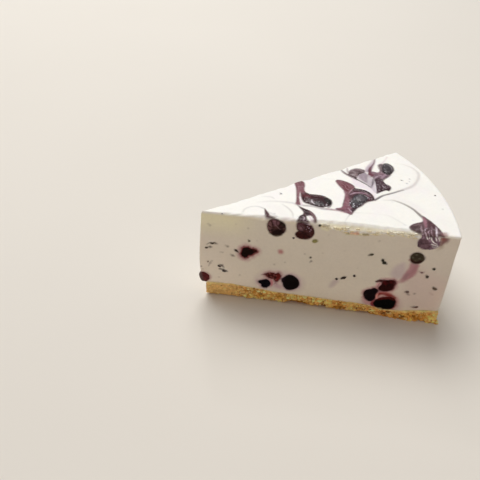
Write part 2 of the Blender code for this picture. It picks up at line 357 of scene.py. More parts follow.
# ---------------------------------------------------------------- the berries' outlines
# On the sheet of the front cut: outline, rise of the dome, depth, height of wrinkles.
FRONT_SHAPES = {
    "berry_front_01": (
        ((27.0, 33.3), (25.3, 34.0), (24.1, 35.4), (23.7, 37.2), (23.8, 38.9), (24.4, 40.1),
         (25.6, 40.8), (27.2, 40.7), (28.6, 40.0), (29.9, 39.2), (30.4, 37.6), (30.3, 36.1),
         (29.6, 34.7), (28.4, 33.7)), 0.55, 3.2, 0.10),
    "berry_front_02": (
        ((36.8, 33.2), (35.3, 33.5), (34.1, 34.3), (33.8, 35.3), (34.3, 36.2), (34.9, 36.8),
         (34.3, 37.6), (34.0, 38.8), (34.3, 40.2), (35.6, 41.0), (37.4, 40.8), (39.0, 39.9),
         (40.0, 38.8), (40.6, 37.3), (40.5, 35.7), (39.7, 34.4), (38.4, 33.5)), 0.60, 3.2, 0.15),
    "berry_front_03": (
        ((15.2, 26.3), (16.8, 26.8), (18.4, 26.2), (19.7, 26.0), (20.6, 25.2), (20.1, 24.5),
         (19.2, 23.9), (18.6, 23.0), (17.4, 22.5), (16.6, 21.4), (15.5, 21.2), (14.6, 21.9),
         (14.1, 23.0), (14.4, 24.2), (14.6, 25.4)), 0.22, 2.6, 0.10),
    "berry_front_04": (
        ((24.0, 12.0), (25.1, 11.6), (26.0, 10.7), (26.2, 9.5), (25.6, 8.3), (24.6, 7.5),
         (23.5, 7.2), (22.5, 7.9), (22.5, 8.8), (21.6, 9.3), (21.3, 10.2), (22.2, 11.0),
         (23.2, 11.4)), 0.35, 2.4, 0.07),
    "berry_front_05": (
        ((23.6, 14.2), (25.0, 15.2), (26.6, 15.6), (28.0, 15.4), (28.9, 15.9), (29.7, 15.1),
         (29.8, 13.8), (29.2, 12.5), (28.6, 11.2), (27.8, 11.2), (27.1, 12.4), (25.8, 12.5),
         (24.6, 13.0)), 0.20, 2.2, 0.14),
    "berry_front_06": (
        ((33.5, 15.6), (35.0, 15.1), (36.3, 13.9), (37.0, 12.2), (36.9, 10.3), (35.9, 8.7),
         (34.2, 7.8), (32.6, 7.7), (31.4, 8.7), (30.9, 10.3), (30.3, 12.1), (30.5, 13.4),
         (31.3, 14.2), (32.2, 15.2)), 0.50, 3.5, 0.05),
    "berry_front_08": (
        ((78.6, 34.7), (77.1, 35.2), (76.2, 36.5), (76.1, 38.0), (76.6, 39.6), (76.9, 41.4),
         (78.0, 43.0), (79.8, 43.6), (81.4, 42.8), (82.4, 41.2), (83.2, 39.4), (83.5, 37.6),
         (83.0, 36.2), (81.7, 35.3), (80.2, 34.9)), 0.75, 4.2, 0.16),
    "berry_front_09": (
        ((77.2, 33.0), (78.4, 32.7), (79.4, 31.7), (79.8, 30.4), (79.4, 29.0), (78.4, 28.1),
         (77.1, 27.9), (75.8, 28.4), (75.0, 29.5), (74.9, 30.9), (75.4, 32.2), (76.2, 32.8)),
        0.50, 2.6, 0.05),
    "berry_front_10": (
        ((67.6, 18.2), (69.0, 18.6), (70.6, 18.9), (71.7, 18.6), (72.2, 17.6), (71.9, 16.2),
         (71.8, 15.0), (71.2, 13.9), (70.0, 13.2), (68.4, 12.8), (67.0, 13.2), (66.3, 14.2),
         (66.9, 15.5), (67.3, 16.8)), 0.28, 3.0, 0.09),
    "berry_front_11": (
        ((61.5, 10.5), (61.7, 11.9), (62.6, 12.8), (63.9, 13.2), (64.8, 14.0), (65.8, 13.8),
         (66.6, 12.9), (66.2, 11.6), (65.9, 10.3), (66.0, 9.0), (65.3, 7.5), (64.0, 6.9),
         (62.7, 7.7), (61.9, 9.0)), 0.35, 2.8, 0.06),
    "berry_front_12": (
        ((66.3, 8.0), (67.3, 9.0), (68.8, 9.7), (70.6, 10.3), (72.2, 10.3), (73.4, 9.4),
         (73.9, 7.8), (73.7, 6.0), (73.0, 4.6), (71.6, 3.7), (69.8, 3.4), (68.0, 3.7),
         (66.5, 4.6), (65.7, 6.1)), 0.32, 3.5, 0.06),
}
# On the sheet of the top.
TOP_SHAPES = {
    "berry_top_01": (
        ((-6.8, 3.6), (-5.4, 4.4), (-3.6, 3.5), (-1.4, 2.8), (0.4, 1.9), (1.8, 0.3), (2.5, -1.4),
         (2.2, -3.2), (1.2, -4.7), (0.1, -4.9), (-1.2, -4.7), (-2.8, -4.6), (-4.6, -3.4),
         (-6.2, -2.1), (-7.2, -0.6), (-7.5, 1.6)), 0.75, 3.0, 0.10),
    "berry_top_02": (
        ((11.4, -0.4), (12.4, 0.7), (13.9, 1.1), (15.5, 0.5), (16.3, -0.8), (16.2, -2.4),
         (15.2, -3.7), (13.8, -4.6), (12.3, -4.3), (11.0, -3.0), (10.8, -1.6)), 0.85, 3.4, 0.10),
    "berry_top_03": (
        ((10.4, -3.2), (11.7, -3.9), (12.8, -5.0), (12.2, -6.2), (10.8, -7.0), (9.4, -7.8),
         (8.4, -7.2), (8.6, -5.6), (9.2, -4.2)), 0.50, 2.4, 0.16),
    "berry_top_04": (
        ((14.8, 14.6), (15.4, 16.8), (16.9, 18.3), (18.8, 18.8), (20.6, 18.2), (21.7, 17.0),
         (21.4, 15.8), (20.2, 15.1), (18.8, 14.7), (17.8, 13.5), (16.6, 12.6), (15.6, 13.4)),
        0.65, 2.8, 0.16),
    "berry_top_05": (
        ((31.2, 20.5), (32.5, 20.5), (33.4, 19.3), (33.6, 17.4), (33.1, 15.4), (31.8, 13.6),
         (30.2, 12.6), (29.0, 13.2), (28.6, 14.8), (29.0, 16.6), (29.8, 18.8)), 0.95, 3.0, 0.10),
    "berry_top_06": (
        ((24.2, 9.4), (25.8, 9.2), (26.4, 7.6), (26.7, 6.0), (27.4, 4.6), (27.1, 3.2), (26.0, 1.9),
         (24.8, 2.3), (23.2, 1.8), (21.9, 1.6), (21.9, 3.4), (22.4, 5.4), (22.9, 7.6)),
        0.65, 2.8, 0.20),
}
# Berries of the back cut: (node, s, z, radius along s, radius along z, depth, turn,
# look, unevenness, dome)
BACK_BERRIES = (
    ("berry_back_01", 12.8, 26.8, 2.3, 2.5, 2.2, 10, "burst", 0.12, 0.25),
    ("berry_back_02", 20.6, 13.0, 3.4, 3.6, 3.4, 0, "black", 0.05, 0.45),
    ("berry_back_03", 29.2, 30.0, 3.5, 3.2, 3.2, 20, "cut", 0.08, 0.28),
    ("berry_back_04", 35.4, 9.9, 3.6, 3.5, 3.6, 0, "black", 0.04, 0.45),
    ("berry_back_05", 42.6, 12.6, 2.8, 3.0, 2.9, 15, "burst", 0.16, 0.25),
    ("berry_back_06", 46.8, 25.6, 3.2, 3.5, 3.1, 0, "maroon", 0.06, 0.45),
    ("berry_back_07", 56.0, 18.2, 3.9, 3.4, 3.5, -15, "cut", 0.08, 0.32),
    ("berry_back_08", 60.8, 33.4, 3.2, 3.4, 3.2, 0, "olive", 0.04, 0.50),
    ("berry_back_09", 64.3, 10.3, 3.2, 3.5, 3.3, 0, "black", 0.05, 0.45),
    ("berry_back_10", 71.2, 13.9, 3.1, 2.9, 3.1, 10, "cut", 0.11, 0.30),
    ("berry_back_11", 77.6, 29.4, 3.4, 3.1, 3.2, -20, "maroon", 0.07, 0.45),
    ("berry_back_12", 82.2, 19.8, 2.4, 2.6, 2.5, 0, "burst", 0.10, 0.35),
)
TIP_BERRY = ("berry_front_07", 9.6, 2.5, 2.6)


def uneven_outline(row, seed, count=36):
    """Closed outline of a berry of the back cut."""
    _, s, z, rs, rz, _, turn, _, uneven, _ = row
    a = np.linspace(0, 2 * math.pi, count, endpoint=False)
    r = 1.0 + uneven * (
        0.6 * np.sin(3 * a + 1.9 * seed) + 0.5 * np.sin(2 * a + seed)
        + 0.35 * np.sin(5 * a + 2.7 * seed) + 0.30 * np.sin(8 * a + 0.6 * seed)
    )
    t = math.radians(turn)
    x, y = rs * r * np.cos(a), rz * r * np.sin(a)
    return np.stack([s + x * math.cos(t) - y * math.sin(t), z + x * math.sin(t) + y * math.cos(t)], 1)


# ---------------------------------------------------------------- marks on the top
def draw_top(p):
    """p: a sheet with places (x, y), x from the middle of the length."""
    W = 0.95
    # washes of juice in the cream
    p.area(((15.2, 13.6), (17.6, 9.6), (19.4, 5.2), (20.4, 1.6), (19.6, -1.6), (18.7, -2.8),
            (18.9, 0.8), (17.8, 3.8), (15.8, 5.4), (14.3, 6.8), (14.2, 10.2)), T(242, 229, 236), 0.85, 1.0)
    p.area(((19.6, 8.6), (22.6, 10.8), (22.8, 8.6), (21.8, 5.0), (20.6, 1.2), (19.8, 3.8), (19.2, 6.4)),
           T(212, 200, 210), 0.9, 0.5, wet=0.6)
    p.line(((22.0, -3.2, 1.2, 0.15), (28.0, -1.6, 1.6, 0.3), (35.0, 1.2, 1.8, 0.3), (39.6, 6.0, 1.4, 0.25),
            (41.0, 12.0, 1.4, 0.2)), T(243, 235, 236), 1.4)
    p.line(((26.4, -3.2, 1.0, 0.2), (30.4, -7.0, 1.4, 0.35), (32.8, -12.6, 1.4, 0.4)), T(240, 233, 232), 1.2)
    p.line(((-20.6, -1.0, 1.6, 0.3), (-17.6, -3.2, 1.6, 0.4), (-16.2, -7.4, 1.5, 0.4)), T(243, 238, 235), 1.3)
    p.line(((-27.6, -2.4, 1.0, 0.3), (-24.6, -3.0, 1.0, 0.3)), T(246, 243, 240), 1.2)
    p.area(((-17.6, -8.8), (-14.2, -9.4), (-13.2, -12.4), (-17.0, -12.4)), T(232, 219, 214), 0.6, 0.7)
    # ---- thin veins
    vein = T(112, 104, 106)
    p.line(((18.6, -3.4, 0.42, 0.95), (19.8, -2.6, 0.46, 1.0), (21.6, -1.5, 0.44, 0.98), (23.2, -0.8, 0.40, 0.90),
            (25.3, -0.3, 0.40, 0.94), (27.4, 0.2, 0.36, 0.90), (29.5, 0.9, 0.36, 0.88), (31.6, 1.4, 0.34, 0.70)),
           vein, 0.34, rag=0.05, lift=-0.08)
    p.line(((29.5, 1.0, 0.3, 0.3), (31.6, 1.7, 0.5, 0.42), (33.7, 2.3, 0.6, 0.46), (35.8, 3.3, 0.6, 0.46),
            (37.6, 4.6, 0.55, 0.44), (39.2, 6.4, 0.5, 0.44), (40.8, 8.6, 0.55, 0.40), (42.0, 11.4, 0.5, 0.38),
            (41.8, 14.6, 0.45, 0.34), (40.4, 17.4, 0.35, 0.26), (38.4, 19.3, 0.3, 0.14), (35.8, 20.2, 0.2, 0.03)),
           T(176, 164, 162), 0.5, lift=-0.05)
    p.line(((21.8, -3.9, 0.35, 0.10), (23.9, -4.2, 0.3, 0.26), (25.3, -4.5, 0.35, 0.42), (26.6, -5.6, 0.4, 0.55),
            (27.9, -6.9, 0.4, 0.68), (29.2, -8.7, 0.42, 0.78), (30.3, -10.8, 0.45, 0.86), (30.9, -12.9, 0.5, 0.9),
            (31.4, -15.1, 0.6, 0.92), (31.9, -16.8, 0.75, 0.8)), T(126, 116, 112), 0.4, rag=0.04, lift=-0.08)
    p.line(((8.6, -9.8, 0.25, 0.30), (12.0, -10.6, 0.3, 0.12), (17.0, -12.0, 0.3, 0.10), (20.0, -13.4, 0.3, 0.20),
            (21.6, -15.5, 0.32, 0.24), (22.9, -17.7, 0.32, 0.26), (23.8, -19.6, 0.4, 0.36)), T(196, 192, 190), 0.4)
    p.line(((6.9, -10.4, 0.25, 0.7), (5.6, -11.8, 0.22, 0.36), (3.8, -14.2, 0.22, 0.22), (3.0, -16.2, 0.2, 0.05)),
           T(170, 162, 164), 0.3)
    p.line(((-31.2, -4.2, 0.3, 0.10), (-30.7, -3.1, 0.32, 0.34), (-29.6, -1.5, 0.3, 0.42), (-27.9, -0.6, 0.28, 0.40),
            (-26.1, -0.4, 0.28, 0.42), (-24.3, -1.0, 0.3, 0.52), (-22.9, -2.3, 0.3, 0.75)), T(182, 179, 177), 0.36)
    p.line(((-24.4, 2.0, 0.4, 0.14), (-20.0, 1.8, 0.45, 0.34), (-17.1, 1.3, 0.45, 0.42), (-14.3, 0.4, 0.5, 0.48),
            (-11.8, -0.6, 0.5, 0.60), (-10.6, -1.8, 0.5, 0.75)), T(200, 194, 194), 0.5)
    p.line(((-15.9, -0.6, 0.3, 0.24), (-14.7, -2.4, 0.32, 0.55), (-13.7, -4.9, 0.32, 0.60), (-13.4, -7.1, 0.3, 0.56),
            (-13.8, -9.3, 0.28, 0.35)), T(196, 190, 188), 0.36)
    p.line(((-22.1, 5.1, 0.3, 0.16), (-20.0, 4.9, 0.32, 0.32), (-18.6, 4.3, 0.32, 0.46), (-18.0, 3.4, 0.3, 0.42)),
           T(196, 194, 192), 0.4)
    p.line(((-22.4, -4.0, 0.3, 0.4), (-21.0, -5.8, 0.6, 0.5), (-19.8, -7.4, 0.6, 0.5), (-18.4, -9.2, 0.5, 0.4)),
           T(212, 208, 206), 0.5)
    p.spots(((-19.7, -6.0, 0.35, 0.6),), T(190, 184, 184), 0.4)
    p.line(((2.0, 14.4, 0.2, 0.05), (5.0, 13.4, 0.3, 0.16), (8.0, 12.9, 0.3, 0.2)), T(214, 206, 206), 0.4)
    # ---- long smear at the left of the middle
    p.line(((-10.0, -2.4, 0.3, 0.5), (-7.6, -2.9, 0.5, 0.8), (-5.2, -3.7, 0.5, 0.8), (-3.2, -5.0, 0.5, 0.8),
            (-1.6, -5.9, 0.6, 0.85), (0.4, -6.6, 0.5, 0.8), (2.4, -7.2, 0.4, 0.5)), T(176, 168, 170), 0.5, wet=0.5)
    p.line(((-0.6, -6.0, 0.35, 0.6), (1.6, -6.9, 0.4, 0.7), (3.6, -7.9, 0.45, 0.8), (5.2, -8.9, 0.5, 0.9),
            (6.6, -10.0, 0.35, 0.9)), T(180, 140, 146), 0.4, wet=W)
    p.area(((-7.9, 13.6), (-6.9, 14.0), (-6.3, 12.8), (-6.5, 9.8), (-7.1, 7.0), (-7.9, 4.6), (-8.6, 2.2),
            (-9.1, -0.4), (-9.2, -2.1), (-10.0, -2.3), (-10.9, -1.3), (-10.1, 1.0), (-9.2, 4.6), (-8.3, 8.6)),
           T(136, 88, 95), 1.0, 0.3, rag=0.12, wet=W, lift=0.12)
    p.area(((-6.4, 14.4), (-5.2, 14.2), (-4.2, 11.9), (-4.5, 9.7), (-5.2, 8.1), (-5.5, 6.2), (-5.2, 4.8),
            (-6.4, 3.4), (-7.5, 4.6), (-7.2, 8.0), (-6.7, 11.4)), T(126, 76, 84), 1.0, 0.3, rag=0.12, wet=W, lift=0.14)
    p.line(((-7.3, 12.8, 0.1, 0.5), (-7.9, 8.8, 0.16, 0.8), (-8.8, 4.6, 0.18, 0.8), (-9.8, 0.4, 0.2, 0.8),
            (-10.2, -1.6, 0.2, 0.8)), T(96, 50, 58), 0.2)
    p.line(((-6.9, 12.9, 0.08, 0.5), (-7.2, 9.4, 0.10, 0.7), (-7.8, 6.2, 0.1, 0.7), (-8.4, 3.4, 0.1, 0.6)),
           T(158, 116, 122), 0.16)
    p.line(((-5.3, 13.6, 0.12, 0.4), (-5.6, 10.0, 0.12, 0.5), (-6.2, 7.4, 0.12, 0.5)), T(108, 62, 70), 0.2)
    p.line(((-5.9, 14.2, 0.10, 0.6), (-6.0, 11.8, 0.08, 0.3)), T(226, 205, 210), 0.15)
    p.area(((-7.9, 3.0), (-7.2, 4.8), (-5.4, 5.2), (-4.0, 3.9), (-1.8, 3.2), (0.1, 2.4), (1.5, 1.0), (2.6, -0.9),
            (2.5, -2.8), (1.6, -4.5), (0.5, -5.5), (-0.6, -4.9), (-1.6, -5.2), (-3.0, -4.8), (-4.4, -3.8),
            (-6.1, -2.5), (-7.7, -1.1), (-8.1, 1.0)), T(60, 32, 36), 1.0, 0.3, rag=0.10, wet=W, lift=0.10)
    p.spots(((-6.2, 3.6, 1.4, 0.9), (-5.0, 2.8, 1.2, 0.6)), T(94, 42, 48), 0.9)
    p.line(((-4.2, 3.2, 0.3, 0.6), (-1.8, 2.4, 0.4, 0.7), (0.4, 1.4, 0.4, 0.7), (1.6, -0.2, 0.3, 0.6)), T(84, 46, 50), 0.5)
    p.area(((0.6, 1.0), (1.8, 0.0), (2.4, -1.6), (1.9, -3.8), (0.9, -3.6), (0.3, -1.6)), T(44, 46, 42), 0.85, 0.5)
    p.area(((-3.6, -1.0), (-1.8, -0.6), (-0.4, -2.0), (-0.8, -4.0), (-2.6, -4.2), (-3.8, -3.0)), T(38, 24, 28), 0.8, 0.5)
    p.line(((-7.2, 6.0, 0.04, 0.1), (-7.8, 4.2, 0.10, 0.6), (-8.3, 1.8, 0.20, 1.0), (-8.6, -0.2, 0.26, 1.0),
            (-8.8, -2.4, 0.34, 1.0)), T(236, 222, 229), 0.24, wet=0.3, lift=0.18)
    # painted highlights: white glints on the wet berry and syrup
    p.line(((-4.3, 0.5, 0.12, 0.6), (-4.6, -0.6, 0.28, 0.95), (-4.3, -1.8, 0.22, 0.9), (-4.0, -2.6, 0.12, 0.6)),
           T(216, 206, 212), 0.2)
    p.line(((0.3, -3.0, 0.12, 0.6), (0.1, -3.9, 0.28, 0.95), (0.6, -5.0, 0.16, 0.9)), T(228, 224, 228), 0.2)
    p.spots(((-6.9, 1.2, 0.14), (-6.5, -0.4, 0.16), (-2.7, -3.4, 0.16), (-1.3, -4.0, 0.2), (1.3, -4.2, 0.14),
             (-3.1, -1.2, 0.12), (-7.1, -0.9, 0.12), (-5.6, -1.6, 0.14), (-1.9, -1.0, 0.1), (0.9, -2.2, 0.1),
             (-5.4, 0.9, 0.1)), T(205, 190, 196), 0.14)
    # ---- above the second berry of the front cut
    p.area(((-10.5, -2.1), (-9.8, -3.1), (-8.4, -4.7), (-7.2, -5.8), (-6.3, -7.2), (-5.8, -9.0), (-5.7, -10.6),
            (-6.1, -12.6), (-6.8, -14.2), (-7.2, -13.0), (-7.0, -11.0), (-7.3, -9.4), (-8.3, -9.3), (-9.4, -9.0),
            (-9.9, -8.2), (-9.4, -6.6), (-9.9, -4.6)), T(80, 46, 51), 1.0, 0.28, rag=0.08, wet=W, lift=0.12)
    p.line(((-7.0, -6.9, 0.35, 0.6), (-6.4, -9.0, 0.42, 0.85), (-6.3, -11.2, 0.35, 0.8), (-6.7, -13.4, 0.25, 0.5)),
           T(134, 104, 106), 0.3)
    p.area(((-9.6, -4.4), (-8.3, -5.4), (-7.5, -6.8), (-7.6, -8.4), (-8.6, -8.8), (-9.2, -7.6), (-9.2, -6.0)),
           T(40, 15, 19), 0.95, 0.4)
    p.area(((-9.8, -8.2), (-11.2, -8.8), (-12.2, -10.2), (-13.3, -12.0), (-14.0, -14.2), (-12.0, -15.4),
            (-9.4, -15.2), (-8.6, -13.2), (-9.2, -11.0), (-9.0, -9.4)), T(58, 26, 31), 1.0, 0.28, rag=0.08, wet=W, lift=0.16)
    p.line(((-8.0, -9.4, 0.25, 0.6), (-7.8, -11.0, 0.38, 0.95), (-7.6, -12.8, 0.34, 0.9), (-7.7, -14.2, 0.2, 0.5)),
           T(230, 214, 220), 0.24, wet=0.4, lift=0.12)
    # painted highlights: a swirl of glints on the wet juice
    p.line(((-10.6, -9.6, 0.10, 0.6), (-9.8, -10.1, 0.18, 0.95), (-10.3, -11.0, 0.16, 0.9), (-10.7, -12.0, 0.14, 0.9),
            (-9.9, -12.7, 0.18, 0.95), (-9.0, -13.4, 0.18, 0.8)), T(214, 194, 204), 0.18)
    p.spots(((-11.6, -10.8, 0.14), (-9.3, -11.7, 0.16), (-11.2, -12.9, 0.12), (-9.0, -8.4, 0.12), (-8.9, -6.2, 0.1),
             (-11.9, -9.0, 0.16, 0.6)), T(200, 176, 186), 0.14)
    # ---- above the first berry of the front cut
    p.area(((-22.6, -2.4), (-22.0, -4.4), (-21.6, -6.4), (-21.3, -8.4), (-21.4, -10.6), (-23.3, -10.6), (-23.3, -7.0),
            (-23.0, -4.2)), T(70, 26, 33), 1.0, 0.24, wet=0.45, lift=0.08)
    p.area(((-21.2, -7.2), (-20.4, -8.2), (-19.6, -8.9), (-18.5, -10.2), (-17.5, -11.8), (-17.2, -13.6), (-19.2, -15.0),
            (-22.6, -14.4), (-22.9, -11.8), (-22.2, -10.2), (-21.5, -8.8)), T(74, 44, 46), 1.0, 0.26, rag=0.10, wet=0.6, lift=0.10)
    p.line(((-21.0, -8.2, 0.15, 0.8), (-19.6, -9.9, 0.25, 0.9), (-18.2, -12.0, 0.3, 0.9)), T(44, 28, 24), 0.25)
    p.line(((-21.6, -10.2, 0.25, 0.8), (-20.2, -11.6, 0.3, 0.8)), T(104, 68, 70), 0.3)
    # ---- boomerang in the middle
    p.area(((8.1, 11.4), (9.3, 12.1), (10.9, 11.3), (12.6, 9.7), (13.8, 7.8), (14.1, 6.1), (14.0, 5.3), (15.6, 4.2),
            (17.1, 3.1), (18.3, 1.6), (18.9, -0.6), (18.7, -2.5), (18.0, -3.7), (15.9, -4.2), (14.3, -5.0),
            (12.5, -6.5), (10.4, -7.6), (8.7, -9.2), (7.1, -10.9), (6.0, -9.8), (5.0, -8.8), (2.6, -7.0), (2.9, -6.2),
            (5.0, -6.0), (6.1, -3.8), (7.2, -1.6), (8.3, 0.6), (9.0, 2.2), (9.2, 4.0), (8.8, 6.0), (8.3, 8.2)),
           T(82, 47, 55), 1.0, 0.3, rag=0.08, wet=W, lift=0.12)
    p.area(((8.2, 11.2), (9.3, 11.8), (10.9, 11.0), (12.5, 9.5), (13.6, 7.6), (13.8, 6.1), (12.6, 5.0), (11.2, 3.6),
            (10.0, 2.4), (9.1, 2.8), (9.3, 4.4), (8.9, 6.4), (8.4, 8.4)), T(132, 86, 92), 1.0, 0.45)
    p.area(((9.6, 8.6), (11.4, 7.6), (12.0, 5.6), (10.8, 3.4), (9.9, 3.6), (9.7, 6.2)), T(106, 54, 60), 0.9, 0.5)
    p.line(((10.6, 10.4, 0.3, 0.5), (12.2, 9.0, 0.4, 0.6), (13.2, 7.2, 0.35, 0.6)), T(112, 74, 80), 0.4)
    p.line(((9.9, 9.0, 0.12, 0.6), (10.7, 7.4, 0.16, 0.85), (10.4, 5.8, 0.12, 0.8), (11.0, 4.6, 0.10, 0.6)),
           T(176, 132, 140), 0.18)
    p.line(((11.3, 8.2, 0.10, 0.5), (11.9, 6.8, 0.12, 0.7), (11.6, 5.4, 0.1, 0.6)), T(168, 124, 132), 0.16)
    p.line(((9.1, 10.4, 0.1, 0.4), (9.4, 8.0, 0.12, 0.5), (9.9, 5.4, 0.1, 0.5)), T(150, 104, 112), 0.18)
    p.area(((6.4, -5.8), (7.6, -4.4), (8.3, -5.8), (8.4, -8.2), (7.1, -10.8), (6.1, -9.7), (5.0, -8.8), (5.4, -7.2)),
           T(126, 80, 92), 1.0, 0.35)
    p.line(((9.5, 3.8, 0.5, 0.8), (9.4, 1.4, 0.75, 0.95), (8.7, -1.2, 0.9, 1.0), (7.7, -3.6, 0.9, 1.0),
            (6.4, -5.7, 0.85, 1.0), (5.0, -6.8, 0.7, 0.95), (3.2, -6.6, 0.35, 0.8)), T(140, 92, 102), 0.35)
    p.line(((9.9, 2.6, 0.3, 0.7), (9.7, 0.4, 0.25, 0.7), (9.4, -1.6, 0.2, 0.6)), T(98, 52, 60), 0.3)
    p.area(((11.3, -0.4), (12.2, 0.7), (13.9, 1.1), (15.5, 0.5), (16.3, -0.8), (16.2, -2.5), (15.2, -3.8), (13.6, -5.2),
            (11.8, -6.4), (10.2, -7.3), (9.0, -6.9), (8.9, -4.8), (9.7, -2.6)), T(76, 73, 76), 1.0, 0.4)
    # painted highlight: a lighter sheen on the round berry
    p.area(((13.2, 0.2), (15.0, -0.2), (15.6, -1.8), (14.6, -3.4), (12.8, -3.2), (12.2, -1.4)), T(104, 98, 102), 0.8, 0.7)
    p.area(((9.4, -5.2), (10.8, -4.6), (12.4, -5.2), (11.4, -6.4), (9.8, -6.8)), T(66, 54, 60), 0.8, 0.5)
    p.line(((12.0, 4.4, 0.45, 0.85), (13.8, 4.4, 0.65, 1.0), (15.6, 3.6, 0.7, 1.0), (17.1, 2.4, 0.7, 1.0),
            (18.0, 0.7, 0.65, 1.0), (18.2, -1.2, 0.55, 1.0), (18.0, -2.8, 0.45, 1.0)), T(64, 32, 40), 0.3, lift=0.30)
    # painted highlight along the raised fold of skin on the round berry
    p.line(((10.8, 1.4, 0.3, 0.7), (12.2, 2.0, 0.4, 0.9), (13.8, 2.1, 0.4, 0.95), (15.4, 1.7, 0.36, 0.9),
            (16.8, 0.7, 0.26, 0.8), (17.3, -0.8, 0.2, 0.5)), T(186, 154, 168), 0.28, lift=0.22)
    p.line(((10.3, 2.0, 0.12, 0.7), (11.5, 3.6, 0.16, 0.95), (12.8, 4.9, 0.16, 0.95), (13.8, 5.7, 0.12, 0.8)),
           T(196, 152, 162), 0.18)
    p.area(((7.2, -10.2), (7.9, -7.8), (9.1, -7.4), (10.4, -7.5), (8.8, -8.9)), T(58, 30, 44), 0.95, 0.3)
    p.line(((7.1, -6.9, 0.12, 0.6), (7.5, -8.4, 0.18, 0.9), (7.6, -9.7, 0.14, 0.8)), T(212, 184, 196), 0.2)
    p.line(((16.4, -0.9, 0.12, 0.7), (16.9, -1.9, 0.18, 0.9), (16.6, -2.9, 0.14, 0.7)), T(150, 130, 142), 0.2)
    # painted highlights: small white glints on the wet berries and syrup
    p.spots(((10.1, -4.5, 0.30), (10.0, -5.5, 0.2), (11.2, -1.9, 0.24), (8.9, -3.9, 0.26), (9.4, -6.0, 0.16),
             (12.2, -3.2, 0.14), (11.5, -1.0, 0.14), (12.7, -0.5, 0.12), (16.4, -1.8, 0.18), (13.4, -4.2, 0.12),
             (8.5, -6.6, 0.16), (10.9, -6.1, 0.12), (14.2, 0.4, 0.1), (9.7, -3.1, 0.14), (17.6, 1.9, 0.1),
             (16.2, 3.5, 0.12), (14.8, 3.9, 0.1), (15.0, -3.4, 0.12), (8.3, -5.2, 0.14), (12.0, -5.3, 0.1)),
            T(218, 216, 222), 0.15)
    # ---- branching patch towards the back
    p.line(((28.8, 25.2, 0.5, 0.4), (26.8, 21.9, 0.9, 0.65), (24.6, 18.9, 1.3, 0.85), (22.8, 16.4, 1.2, 0.9)),
           T(190, 170, 182), 0.55, wet=0.6)
    p.line(((29.0, 25.2, 0.25, 0.6), (27.4, 21.9, 0.3, 0.8), (25.5, 19.5, 0.32, 0.9), (24.3, 17.8, 0.65, 1.0),
            (23.5, 16.0, 0.7, 1.0)), T(112, 74, 84), 0.32, wet=W, lift=0.10)
    p.line(((34.5, 25.8, 0.3, 0.35), (32.0, 22.6, 0.3, 0.5), (30.0, 20.6, 0.4, 0.6), (29.0, 19.4, 0.3, 0.5)),
           T(218, 186, 194), 0.35)
    p.area(((28.5, 14.6), (27.7, 13.0), (26.0, 13.0), (24.2, 12.6), (23.4, 11.0), (24.0, 10.0), (26.4, 9.8),
            (28.4, 10.6), (30.2, 12.0)), T(168, 142, 154), 1.0, 0.4, wet=W, lift=0.10)
    p.area(((23.0, 15.2), (24.6, 15.8), (26.4, 14.8), (28.4, 16.4), (28.9, 13.6), (27.2, 12.2), (25.0, 12.4), (23.4, 11.8),
            (22.2, 12.8)), T(134, 102, 112), 0.95, 0.4, rag=0.25, wet=W, lift=0.10)
    p.area(((24.0, 12.8), (25.6, 13.4), (26.6, 11.8), (25.4, 9.6), (23.6, 9.6), (22.8, 11.2)), T(116, 92, 100), 0.9, 0.4, rag=0.2, wet=W)
    p.line(((30.4, 12.4, 0.55, 0.9), (28.6, 11.0, 0.6, 0.95), (27.0, 9.8, 0.5, 0.9), (26.2, 8.8, 0.4, 0.8)),
           T(110, 88, 96), 0.35, wet=W)
    p.line(((26.8, 12.4, 0.25, 0.6), (25.0, 11.8, 0.3, 0.7), (23.8, 10.8, 0.3, 0.7)), T(196, 174, 186), 0.3)
    p.area(((23.5, 16.4), (23.7, 14.6), (24.4, 13.2), (23.6, 12.4), (22.0, 11.5), (21.6, 12.2), (21.9, 13.7),
            (22.6, 15.2)), T(110, 62, 72), 1.0, 0.28, wet=W, lift=0.12)
    p.line(((12.5, 19.4, 0.35, 0.55), (13.2, 16.9, 0.5, 0.85), (14.5, 14.3, 0.6, 0.95), (15.8, 12.4, 0.5, 0.95),
            (16.5, 11.0, 0.4, 0.9)), T(112, 88, 90), 0.35, rag=0.15, wet=W, lift=0.10)
    p.line(((15.5, 20.0, 0.25, 0.4), (15.1, 18.4, 0.35, 0.6), (14.8, 16.8, 0.4, 0.7)), T(156, 132, 136), 0.35, wet=W)
    p.area(((14.4, 14.9), (15.2, 17.1), (16.8, 18.5), (18.8, 19.0), (20.7, 18.4), (21.8, 17.1), (21.5, 15.7),
            (20.5, 15.1), (18.8, 14.6), (17.8, 13.3), (16.4, 11.9), (15.2, 13.2)), T(132, 114, 116), 1.0, 0.3,
           rag=0.12, wet=W)
    p.spots(((16.2, 16.2, 0.9, 0.6), (18.2, 17.6, 0.9, 0.5), (19.4, 16.2, 0.8, 0.5), (16.6, 13.8, 0.8, 0.6)),
            T(88, 64, 68), 0.7)
    p.line(((15.4, 17.0, 0.15, 0.6), (17.0, 18.1, 0.2, 0.7), (19.0, 18.5, 0.2, 0.7), (20.8, 17.7, 0.15, 0.6)),
           T(150, 130, 134), 0.25)
    p.area(((16.9, 12.4), (17.8, 13.9), (21.6, 13.6), (22.7, 11.8), (22.5, 9.0), (20.6, 5.6), (19.5, 6.8), (18.0, 9.6)),
           T(198, 187, 192), 0.85, 0.45, rag=0.1, wet=0.5)
